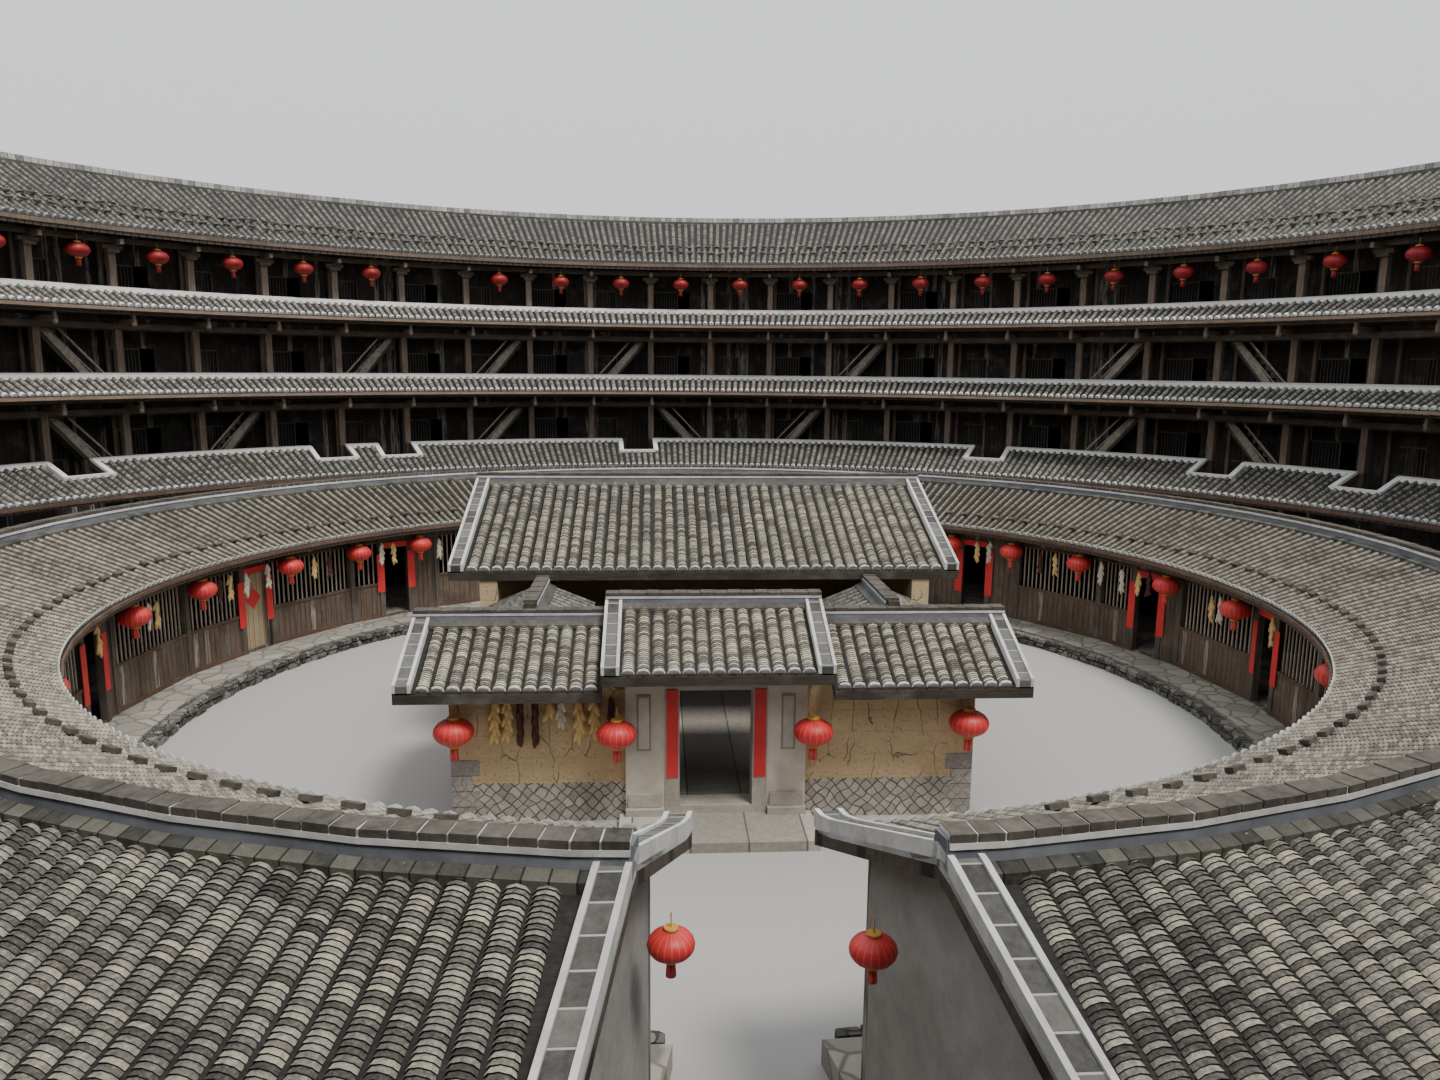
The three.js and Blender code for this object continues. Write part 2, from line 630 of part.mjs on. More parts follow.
function addHallWalls() {
  const space = hallRoofSpace();
  const high = 8;
  const inner = hall.halfWidth - hall.wall;
  const frontBack = hall.front + hall.frontWall;
  const gateSide = hallGate.halfWall + gap;
  const pieces = [
    ['hall_front_wall_left', box(-hall.halfWidth, -gateSide, hall.front, frontBack, 0, high)],
    ['hall_front_wall_right', box(gateSide, hall.halfWidth, hall.front, frontBack, 0, high)],
    ['hall_side_wall_left', box(-hall.halfWidth, -inner, frontBack + gap, hall.rear, 0, high)],
    ['hall_side_wall_right', box(inner, hall.halfWidth, frontBack + gap, hall.rear, 0, high)],
    ['hall_rear_wall', box(-inner + gap, inner - gap, hall.rear - hall.wall, hall.rear, 0, high)],
  ];
  for (const [name, solid] of pieces) {
    addSolid(name, solid.subtract(space), earth);
  }
  const gateWall = box(-hallGate.halfWall, hallGate.halfWall, hallGate.front, hallGate.rear, 0, high)
    .subtract(box(-hallGate.halfFrame, hallGate.halfFrame, -7, -5, -1, hallDoor.frameTop))
    .subtract(space);
  addSolid('hall_gate_wall', gateWall, earth);
  const halfFrame = hallGate.halfFrame - gap;
  const frame = box(
    -halfFrame,
    halfFrame,
    hallGate.front - 0.02,
    hallGate.rear + 0.02,
    hallDoor.frameBottom + gap,
    hallDoor.frameTop - gap,
  ).subtract(box(-hallGate.halfDoor, hallGate.halfDoor, -7, -5, hallDoor.sill, hallDoor.head));
  addSolid('hall_gate_frame', frame, granite);
}

function addHallBase() {
  const inner = hall.halfWidth - hall.wall - gap;
  const innerFrontEdge = hall.front + hall.frontWall + gap;
  const innerRear = hall.rear - hall.wall - gap;
  const halfFrame = hallGate.halfFrame - gap;
  const stepBack = hallGate.front - gap;
  const base = joinAll([
    box(-inner, inner, innerFrontEdge, innerRear, 0, hall.floorTop),
    box(-halfFrame, halfFrame, stepBack - 0.1, innerFrontEdge + 0.1, 0, hallStep.top),
    box(-hallStep.halfWidth, hallStep.halfWidth, hallStep.front, stepBack, 0, hallStep.top),
  ]);
  addSolid('hall_base', base, stone);
}

addOuterWall();
addMainRoof();
addFloors();
addGroundFront();
for (const storey of [2, 3, 4]) {
  addGallery(storey);
  addRoomFront(storey);
}
addSkirts();
addTerrace();
addInnerWalls();
addInnerRoof();
addDoorLeaf();
addHallBase();
addHallWalls();
addHallRoofs();

house.scale.setScalar(modelScale * millimetresPerMetre);

export default house;
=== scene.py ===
import json
import math

import bmesh
import bpy
from mathutils import Matrix, Vector

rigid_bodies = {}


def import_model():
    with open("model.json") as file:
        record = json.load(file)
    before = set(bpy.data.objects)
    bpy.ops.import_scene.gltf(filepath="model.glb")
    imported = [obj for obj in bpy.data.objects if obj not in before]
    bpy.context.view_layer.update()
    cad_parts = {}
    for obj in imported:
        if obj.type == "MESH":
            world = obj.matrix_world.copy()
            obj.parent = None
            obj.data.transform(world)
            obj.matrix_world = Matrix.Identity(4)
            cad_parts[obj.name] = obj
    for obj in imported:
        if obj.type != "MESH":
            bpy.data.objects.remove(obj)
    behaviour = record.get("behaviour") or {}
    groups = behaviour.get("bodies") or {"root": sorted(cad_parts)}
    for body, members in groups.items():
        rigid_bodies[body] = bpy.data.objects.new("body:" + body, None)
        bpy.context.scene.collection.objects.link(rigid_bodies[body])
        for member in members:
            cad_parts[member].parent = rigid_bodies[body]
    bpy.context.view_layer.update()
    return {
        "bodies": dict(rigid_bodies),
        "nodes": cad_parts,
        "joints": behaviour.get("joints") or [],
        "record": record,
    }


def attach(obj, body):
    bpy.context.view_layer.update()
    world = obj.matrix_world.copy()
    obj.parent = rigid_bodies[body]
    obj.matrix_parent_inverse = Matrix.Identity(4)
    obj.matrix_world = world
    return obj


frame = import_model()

# Sizes are metres of the real building; everything is halved into the 1:2 model as it is made.
# A bearing is in degrees from the main gate, at -Y, towards +X.
modelScale = 0.5
bayCount = 56
bayAngle = 360 / bayCount
innerBayCount = 28
innerBayAngle = 360 / innerBayCount
outerPhase = bayAngle / 2  # the outer ring's corners lie between its bays
house = "house"
leafBody = "door_leaf"
print("frame loaded")

# The photograph's camera: it stands in the upper gallery over the main gate.
photoView = {
    "place": (-1.153, -25.07, 8.95), "turnRight": 3.57, "tiltDown": 9.632, "roll": 0.497,
    "lens": 25.52, "sensor": 36.0, "near": 0.05, "far": 500,
}


def addCamera():
    data = bpy.data.cameras.new("photoCamera")
    data.sensor_fit = "HORIZONTAL"
    data.sensor_width = photoView["sensor"]
    data.lens = photoView["lens"]
    data.clip_start = photoView["near"]
    data.clip_end = photoView["far"]
    camera = bpy.data.objects.new("photoCamera", data)
    bpy.context.scene.collection.objects.link(camera)
    turn = Matrix.Rotation(-math.radians(photoView["turnRight"]), 4, "Z")
    tilt = Matrix.Rotation(math.radians(90 - photoView["tiltDown"]), 4, "X")
    roll = Matrix.Rotation(math.radians(photoView["roll"]), 4, "Z")
    place = Matrix.Translation(Vector(photoView["place"]) * modelScale)
    camera.matrix_world = place @ turn @ tilt @ roll
    bpy.context.scene.camera = camera


# Soft daylight from above, with less of it from the horizon.
daylight = {
    "zenith": (0.92, 0.95, 1.0), "horizon": (0.80, 0.81, 0.82), "horizonReach": 0.7, "skyStrength": 1.25,
    "sunColor": (1.0, 0.97, 0.92), "sunStrength": 2.8, "sunAngle": 16, "sunHeight": 62, "sunBearing": 40,
    "floorSize": 400, "floorColor": (0.40, 0.39, 0.37), "floorRoughness": 0.9,
}


# An input is linked to another node's output or gets a value.
def feedSocket(tree, socket, value):
    if isinstance(value, bpy.types.NodeSocket):
        tree.links.new(value, socket)
    elif socket.type == "RGBA":
        socket.default_value = (*value, 1)
    else:
        socket.default_value = value


def newNode(tree, kind, inputs=None, **settings):
    made = tree.nodes.new(kind)
    for key, value in settings.items():
        setattr(made, key, value)
    for key, value in (inputs or {}).items():
        feedSocket(tree, made.inputs[key], value)
    return made


def addDaylight():
    world = bpy.data.worlds.new("paleSky")
    bpy.context.scene.world = world
    world.use_nodes = True
    tree = world.node_tree
    where = newNode(tree, "ShaderNodeTexCoord").outputs["Generated"]
    height = newNode(tree, "ShaderNodeSeparateXYZ", {0: where}).outputs["Z"]
    reach = {"Value": height, "From Min": 0.0, "From Max": daylight["horizonReach"]}
    share = newNode(tree, "ShaderNodeMapRange", reach).outputs["Result"]
    tones = {"Factor": share, 6: daylight["horizon"], 7: daylight["zenith"]}
    background = tree.nodes["Background"].inputs
    feedSocket(tree, background["Color"], newNode(tree, "ShaderNodeMix", tones, data_type="RGBA").outputs[2])
    feedSocket(tree, background["Strength"], daylight["skyStrength"])
    data = bpy.data.lights.new("softSun", "SUN")
    data.color = daylight["sunColor"]
    data.energy = daylight["sunStrength"]
    data.angle = math.radians(daylight["sunAngle"])
    sun = bpy.data.objects.new("softSun", data)
    bpy.context.scene.collection.objects.link(sun)
    lean = Matrix.Rotation(math.radians(90 - daylight["sunHeight"]), 4, "X")
    swing = Matrix.Rotation(math.radians(daylight["sunBearing"]), 4, "Z")
    sun.matrix_world = swing @ lean


# A procedural material, built up node by node.
class Finish:
    def __init__(self, name):
        self.material = bpy.data.materials.new(name)
        self.material.use_nodes = True
        self.tree = self.material.node_tree
        self.shader = self.tree.nodes["Principled BSDF"]
        inputs = {0: self.node("ShaderNodeTexCoord").outputs["Object"], "Scale": 1 / modelScale}
        self.place = self.node("ShaderNodeVectorMath", inputs, operation="SCALE").outputs[0]
        self.parts = None

    def node(self, kind, inputs=None, **settings):
        return newNode(self.tree, kind, inputs, **settings)

    def math(self, operation, first, second=0.0):
        return self.node("ShaderNodeMath", {0: first, 1: second}, operation=operation).outputs[0]

    def add(self, first, second):
        return self.math("ADD", first, second)

    def subtract(self, first, second):
        return self.math("SUBTRACT", first, second)

    def times(self, first, second):
        return self.math("MULTIPLY", first, second)

    def centred(self, value):
        return self.subtract(value, 0.5)

    def axis(self, letter):
        if self.parts is None:
            self.parts = self.node("ShaderNodeSeparateXYZ", {0: self.place})
        return self.parts.outputs[letter]

    def radius(self):
        squares = [self.times(self.axis(letter), self.axis(letter)) for letter in "XY"]
        return self.math("SQRT", self.add(*squares))

    def bearing(self):
        angle = self.math("ARCTAN2", self.axis("X"), self.times(self.axis("Y"), -1.0))
        return self.times(angle, 180 / math.pi)

    def combine(self, x, y, z=0.0):
        return self.node("ShaderNodeCombineXYZ", {"X": x, "Y": y, "Z": z}).outputs[0]

    def stretch(self, x, y, z):
        inputs = {0: self.place, 1: (x, y, z)}
        return self.node("ShaderNodeVectorMath", inputs, operation="MULTIPLY").outputs[0]

    def warped(self, scale, amount, stretch=(1.0, 1.0, 1.0)):
        # the place stretched along the axes and bent by noise
        warp = self.node("ShaderNodeTexNoise", {"Vector": self.place, "Scale": scale}).outputs["Color"]
        inputs = {0: warp, 1: (amount, amount, amount), 2: self.stretch(*stretch)}
        return self.node("ShaderNodeVectorMath", inputs, operation="MULTIPLY_ADD").outputs[0]

    def noise(self, where, scale, detail=4.0, roughness=0.55):
        inputs = {"Vector": where, "Scale": scale, "Detail": detail, "Roughness": roughness}
        return self.node("ShaderNodeTexNoise", inputs).outputs["Fac"]

    def cells(self, where, scale, feature="F1"):
        return self.node("ShaderNodeTexVoronoi", {"Vector": where, "Scale": scale}, feature=feature).outputs

    def chance(self, where):
        made = self.node("ShaderNodeTexWhiteNoise", {"Vector": where}, noise_dimensions="3D")
        return made.outputs["Value"]

    def attribute(self, name):
        return self.node("ShaderNodeAttribute", attribute_name=name).outputs["Fac"]

    def ramp(self, amount, stops):
        made = self.node("ShaderNodeValToRGB", {"Fac": amount})
        band = made.color_ramp
        while len(band.elements) < len(stops):
            band.elements.new(0.5)
        for element, (position, color) in zip(band.elements, stops):
            element.position = position
            element.color = (*color, 1)
        return made.outputs["Color"]

    def toned(self, values, shares, places, tones):
        # two values, each by its share, choose between two tones
        amount = self.add(*(self.times(value, share) for value, share in zip(values, shares)))
        return self.ramp(amount, list(zip(places, tones)))

    def step(self, amount, low, high):
        inputs = {"Value": amount, "From Min": low, "From Max": high}
        return self.node("ShaderNodeMapRange", inputs, interpolation_type="SMOOTHSTEP").outputs["Result"]

    def line(self, amount, width):
        # one where the amount is near a whole number
        edge = self.math("ABSOLUTE", self.subtract(self.math("FRACT", amount), 0.5))
        return self.step(edge, 0.5 - width, 0.5 - width * 0.4)

    def mix(self, amount, first, second):
        inputs = {"Factor": amount, 6: first, 7: second}
        return self.node("ShaderNodeMix", inputs, data_type="RGBA").outputs[2]

    def stain(self, color, mask, share, tint):
        # the tint covers its share of the color where the mask is one
        return self.mix(self.times(mask, share), color, tint)

    def bump(self, height, distance):
        inputs = {"Height": height, "Distance": distance * modelScale}
        return self.node("ShaderNodeBump", inputs).outputs["Normal"]

    def facing(self, low, high):
        # one where the surface looks up
        normal = self.node("ShaderNodeNewGeometry").outputs["True Normal"]
        return self.step(self.node("ShaderNodeSeparateXYZ", {0: normal}).outputs["Z"], low, high)

    def done(self, color, roughness, normal):
        for name, value in (("Base Color", color), ("Roughness", roughness), ("Normal", normal)):
            feedSocket(self.tree, self.shader.inputs[name], value)
        return self.material


def shade(color, factor):
    factors = factor if isinstance(factor, tuple) else (factor, factor, factor)
    return tuple(channel * share for channel, share in zip(color, factors))


# Tones of weathered tile, from grimy to lichened. A finish's light scales them all: painted light and shade
# that makes each roof brighter or darker.
tileTones = [
    (0.0, (0.045, 0.041, 0.036)),
    (0.28, (0.125, 0.115, 0.101)),
    (0.5, (0.265, 0.249, 0.216)),
    (0.7, (0.420, 0.398, 0.340)),
    (0.86, (0.600, 0.560, 0.430)),
    (1.0, (0.740, 0.660, 0.420)),
]
# Grime and painted shade for the sides of the tiles; painted shadow for their lower edges.
tileSideGrimeAndShade = (0.02, 0.018, 0.016)
tileShadow = (0.012, 0.011, 0.010)
lichenTint = (0.52, 0.50, 0.42)
sideCourse = 0.12  # a tile's sides, darkened as grime and painted shade between the rows, add this to its course number
edgeCourse = 0.5  # its dark lower edge adds this


# A tone for each tile, patches over many tiles and fine grain. The grain is given back too.
def tileColor(finish, course, light, look):
    tile = finish.combine(finish.attribute("row"), finish.math("FLOOR", course), look["seed"])
    tone = finish.times(finish.centred(finish.chance(tile)), look["spread"])
    patches = finish.noise(finish.place, look["patches"], 5.0, 0.6)
    fine = finish.noise(finish.place, *look["grain"])
    grain = finish.add(finish.times(finish.centred(fine), look["contrast"]), look["base"])
    amount = finish.add(finish.add(tone, finish.times(patches, 0.5)), grain)
    # the light brightens or darkens the tones: painted light and shade
    return finish.ramp(amount, [(place, shade(tint, light)) for place, tint in tileTones]), fine


# Cover tiles that are shapes of their own: the mesh carries the row and course of each face.
def coverFinish(name, light, lichen, spread=0.75, sideGrimeAndShade=0.25, contrast=1.25, edge=1.0):
    finish = Finish(name)
    course = finish.attribute("course")
    look = {
        "seed": 3.7, "spread": spread, "patches": 0.5, "grain": (24.0, 6.0, 0.75),
        "contrast": contrast, "base": 0.22,
    }
    color, fine = tileColor(finish, course, light, look)
    spots = finish.step(finish.noise(finish.place, 4.5, 5.0, 0.7), 0.55, 0.7)
    color = finish.stain(color, spots, lichen, shade(lichenTint, light))
    share = finish.math("FRACT", course)
    # grime and painted shade on the sides of each tile
    color = finish.stain(color, finish.step(share, 0.05, 0.1), sideGrimeAndShade, tileSideGrimeAndShade)
    color = finish.stain(color, finish.step(share, 0.2, 0.3), edge, tileShadow)
    return finish.done(color, 0.92, finish.bump(fine, 0.012))


# Roof rows far from the eye: their courses are dark lines across each row, painted shadow under each
# course's lip.
def farTileFinish(name, along, light):
    finish = Finish(name)
    course = along(finish)
    look = {
        "seed": 5.1, "spread": 0.55, "patches": 0.4, "grain": (12.0, 5.0, 0.7),
        "contrast": 1.0, "base": 0.25,
    }
    color, fine = tileColor(finish, course, light, look)
    line = finish.line(course, 0.2)
    # painted shadow under the lip of each course
    color = finish.stain(color, line, 0.85, (0.015, 0.014, 0.012))
    # grime and painted shade on the sides of each row
    side = finish.step(finish.math("FRACT", finish.attribute("course")), 0.05, 0.1)
    color = finish.stain(color, side, 0.55, tileSideGrimeAndShade)
    height = finish.subtract(finish.times(fine, 0.4), line)
    return finish.done(color, 0.92, finish.bump(height, 0.02))


# A roof slab: pan tiles above, painted near black as the shade between the cover rows, with painted shadow
# lines at the courses; boards and rafters below.
def slabFinish(name, across, course):
    finish = Finish(name)
    fine = finish.noise(finish.place, 9.0, 4.0, 0.65)
    # the pan is painted near black: the shade between the cover rows
    pan = finish.ramp(fine, [(0.3, (0.008, 0.007, 0.006)), (0.8, (0.040, 0.037, 0.032))])
    pan = finish.stain(pan, finish.line(course(finish), 0.16), 0.6, tileShadow)
    wood = finish.ramp(fine, [(0.3, (0.045, 0.033, 0.024)), (0.8, (0.120, 0.090, 0.066))])
    wood = finish.mix(finish.line(across(finish), 0.12), wood, (0.010, 0.008, 0.006))
    color = finish.mix(finish.facing(0.0, 0.1), wood, pan)
    return finish.done(color, 0.9, finish.bump(fine, 0.01))


def ringRow(count):
    return lambda finish: finish.times(finish.bearing(), count / 360)


def ringCourse(start, pitch):
    return lambda finish: finish.math("DIVIDE", finish.subtract(finish.radius(), start), pitch)


def straight(letter, pitch):
    return lambda finish: finish.math("DIVIDE", finish.axis(letter), pitch)


# Weathered timber: grain along one direction, drying cracks, grey where rain reaches.
def timberFinish(name, dark, light, grain=(9, 9, 0.7), plank=None, grey=0.3):
    finish = Finish(name)
    streak = finish.noise(finish.stretch(*grain), 2.2, 6.0, 0.65)
    wide = finish.noise(finish.place, 0.8, 3.0)
    color = finish.toned((streak, wide), (0.7, 0.4), (0.35, 0.75), (dark, light))
    washed = finish.step(finish.noise(finish.place, 1.7, 4.0), 0.5, 0.75)
    color = finish.stain(color, washed, grey, (0.24, 0.225, 0.20))
    height = streak
    if plank is not None:
        across = plank(finish)
        tone = finish.chance(finish.combine(finish.math("ROUND", across), 1.3, 7.1))
        color = finish.stain(color, tone, 0.25, light)
        pale = finish.times(finish.step(tone, 0.86, 0.9), finish.step(streak, 0.4, 0.6))
        color = finish.stain(color, pale, 0.7, (0.42, 0.385, 0.33))
        joint = finish.line(finish.add(across, 0.5), 0.045)
        color = finish.stain(color, joint, 0.8, shade(dark, 0.3))
        height = finish.subtract(streak, finish.times(joint, 1.5))
    return finish.done(color, 0.82, finish.bump(height, 0.012))


def ringPlanks(radius, width):
    return lambda finish: finish.times(finish.bearing(), math.pi / 180 * radius / width)


# Squared stones set cornerwise, a little crooked: their colour and their joints.
def crossedStones(finish, fine, plinth):
    side = finish.add(finish.axis("X"), finish.axis("Y"))
    bends = []
    for scale in plinth["bendScales"]:
        bends.append(finish.times(finish.centred(finish.noise(finish.place, scale, 1.0)), plinth["bend"]))
    rising = finish.add(finish.add(side, finish.axis("Z")), bends[0])
    falling = finish.add(finish.subtract(side, finish.axis("Z")), bends[1])
    first, second = (finish.math("DIVIDE", way, plinth["stone"]) for way in (rising, falling))
    stone = finish.combine(finish.math("FLOOR", first), finish.math("FLOOR", second), 2.2)
    color = finish.toned((finish.chance(stone), fine), (0.4, 0.6), (0.2, 0.9), plinth["stoneTones"])
    joints = finish.math("MAXIMUM", finish.line(first, 0.07), finish.line(second, 0.07))
    return finish.mix(joints, color, (0.13, 0.115, 0.092)), joints


# Dressed blocks at the corners, long and short in turn: their colour and where they lie.
def cornerBlocks(finish, fine, plinth):
    course = finish.math("DIVIDE", finish.axis("Z"), plinth["block"])
    level = finish.math("FLOOR", course)
    longer = finish.times(finish.math("MODULO", level, 2.0), plinth["longer"])
    inside = 1.0
    for letter, (middle, half) in plinth["walls"].items():
        aside = finish.math("ABSOLUTE", finish.subtract(finish.axis(letter), middle))
        start = finish.subtract(half - plinth["reach"], longer)
        inside = finish.times(finish.step(finish.subtract(aside, start), 0.0, 0.01), inside)
    above = finish.step(course, plinth["courses"], plinth["courses"] + 0.03)
    inside = finish.times(inside, finish.subtract(1.0, above))
    tone = finish.add(finish.times(finish.chance(finish.combine(level, 1.0)), 0.4), fine)
    color = finish.ramp(tone, list(zip((0.3, 0.9), plinth["blockTones"])))
    return finish.mix(finish.line(course, 0.035), color, (0.09, 0.08, 0.065)), inside


# Rammed earth: lifts of even height, cracks, pits and washed streaks, on a stone plinth if given.
def earthFinish(name, dark, light, lift, seamDepth, plinth=None):
    finish = Finish(name)
    patches = finish.noise(finish.place, 0.35, 5.0, 0.6)
    fine = finish.noise(finish.place, 9.0, 6.0, 0.7)
    color = finish.toned((patches, fine), (0.75, 0.3), (0.32, 0.72), (dark, light))
    wander = finish.times(finish.noise(finish.place, 0.9, 2.0), 0.1)
    level = finish.math("DIVIDE", finish.add(finish.axis("Z"), wander), lift)
    band = finish.chance(finish.combine(finish.math("FLOOR", level), 0.0))
    color = finish.stain(color, band, 0.3 * seamDepth, light)
    seam = finish.times(finish.line(level, 0.03), seamDepth)
    color = finish.mix(seam, color, shade(dark, 0.5))
    streak = finish.step(finish.noise(finish.stretch(1.6, 1.6, 0.12), 1.0, 5.0, 0.6), 0.55, 0.8)
    color = finish.stain(color, streak, 0.3, shade(dark, 0.5))
    net = finish.cells(finish.warped(3.5, 0.3, (2.2, 2.2, 0.7)), 1.0, "DISTANCE_TO_EDGE")
    crack = finish.subtract(1.0, finish.step(net["Distance"], 0.0, 0.016))
    crack = finish.times(crack, finish.step(finish.noise(finish.place, 1.6, 3.0), 0.46, 0.56))
    color = finish.stain(color, crack, 0.7, shade(dark, 0.35))
    pits = finish.step(finish.noise(finish.place, 22.0, 3.0, 0.7), 0.62, 0.75)
    height = finish.subtract(fine, finish.add(pits, finish.times(finish.add(seam, crack), 1.2)))
    if plinth is not None:
        stones, joints = crossedStones(finish, fine, plinth)
        wave = finish.times(finish.noise(finish.place, 2.5, 2.0), plinth["wave"])
        above = finish.step(finish.add(finish.axis("Z"), wave), plinth["top"], plinth["top"] + 0.04)
        color = finish.mix(above, stones, color)
        rough = finish.subtract(finish.times(fine, 0.6), joints)
        below = finish.times(finish.subtract(1.0, above), rough)
        height = finish.add(finish.times(above, height), finish.times(below, 1.6))
        blocks, inside = cornerBlocks(finish, fine, plinth)
        color = finish.mix(inside, color, blocks)
    return finish.done(color, 0.93, finish.bump(height, 0.03))


hallPlinth = {
    "top": 0.84, "wave": 0.12, "stone": 0.25, "bend": 0.3, "bendScales": (2.3, 3.1),
    "stoneTones": ((0.28, 0.250, 0.210), (0.60, 0.550, 0.47)),
    "block": 0.325, "courses": 4, "reach": 0.42, "longer": 0.14,
    "blockTones": ((0.18, 0.160, 0.140), (0.42, 0.385, 0.34)),
    "walls": {"X": (0.0, 5.2), "Y": (-0.1, 5.7)},  # the middle and half the length along each axis
}


# Rounded stones of uneven size, with dark joints and some moss.
def stoneFinish(name, density, dark, light, depth=0.03, gapTone=(0.05, 0.047, 0.04), moss=0.3):
    finish = Finish(name)
    where = finish.warped(density, 0.15)
    edge = finish.cells(where, density, "DISTANCE_TO_EDGE")["Distance"]
    tone = finish.chance(finish.cells(where, density)["Position"])
    fine = finish.noise(finish.place, 12.0, 5.0, 0.65)
    color = finish.toned((tone, fine), (0.6, 0.4), (0.2, 0.85), (dark, light))
    gap = finish.step(edge, 0.01, 0.08)
    color = finish.mix(gap, gapTone, color)
    growth = finish.step(finish.noise(finish.place, 1.1, 5.0, 0.65), 0.55, 0.75)
    color = finish.stain(color, growth, moss, (0.09, 0.095, 0.05))
    height = finish.add(finish.times(gap, 0.8), finish.times(fine, 0.25))
    return finish.done(color, 0.9, finish.bump(height, depth))


def plainFinish(name, dark, light, roughness=0.85, scale=6.0, depth=0.01, nearBlackInside=None):
    finish = Finish(name)
    fine = finish.noise(finish.place, scale, 6.0, 0.65)
    wide = finish.noise(finish.place, scale / 7, 3.0)
    color = finish.toned((fine, wide), (0.5, 0.5), (0.3, 0.7), (dark, light))
    if nearBlackInside:
        # the side towards the centre is near black
        outside = finish.step(finish.radius(), nearBlackInside, nearBlackInside + 0.02)
        color = finish.mix(outside, (0.012, 0.010, 0.009), color)
    return finish.done(color, roughness, finish.bump(fine, depth))


# Lantern cloth, paler along its ribs, which are the faces of course 1: pale wires with a painted highlight
# along them.
def clothFinish(name, dark, light, rib):
    finish = Finish(name)
    fine = finish.noise(finish.place, 5.0, 5.0, 0.65)
    color = finish.ramp(fine, [(0.3, dark), (0.7, light)])
    color = finish.stain(color, finish.attribute("course"), 0.4, rib)
    return finish.done(color, 0.5, finish.bump(fine, 0.002))


# Flat dark tiles with a pale joint at every tile.
def jointedFinish(name, along, dark, light, joint=(0.42, 0.41, 0.38), width=0.05):
    finish = Finish(name)
    steps = along(finish)
    fine = finish.noise(finish.place, 9.0, 5.0, 0.7)
    tone = finish.chance(finish.combine(finish.math("ROUND", steps), 4.2, 1.9))
    color = finish.toned((tone, fine), (0.4, 0.6), (0.25, 0.8), (dark, light))
    line = finish.line(finish.add(steps, 0.5), width)
    color = finish.mix(line, color, joint)
    return finish.done(color, 0.9, finish.bump(finish.subtract(fine, line), 0.01))


alongRing = (1.5, 1.5, 10)
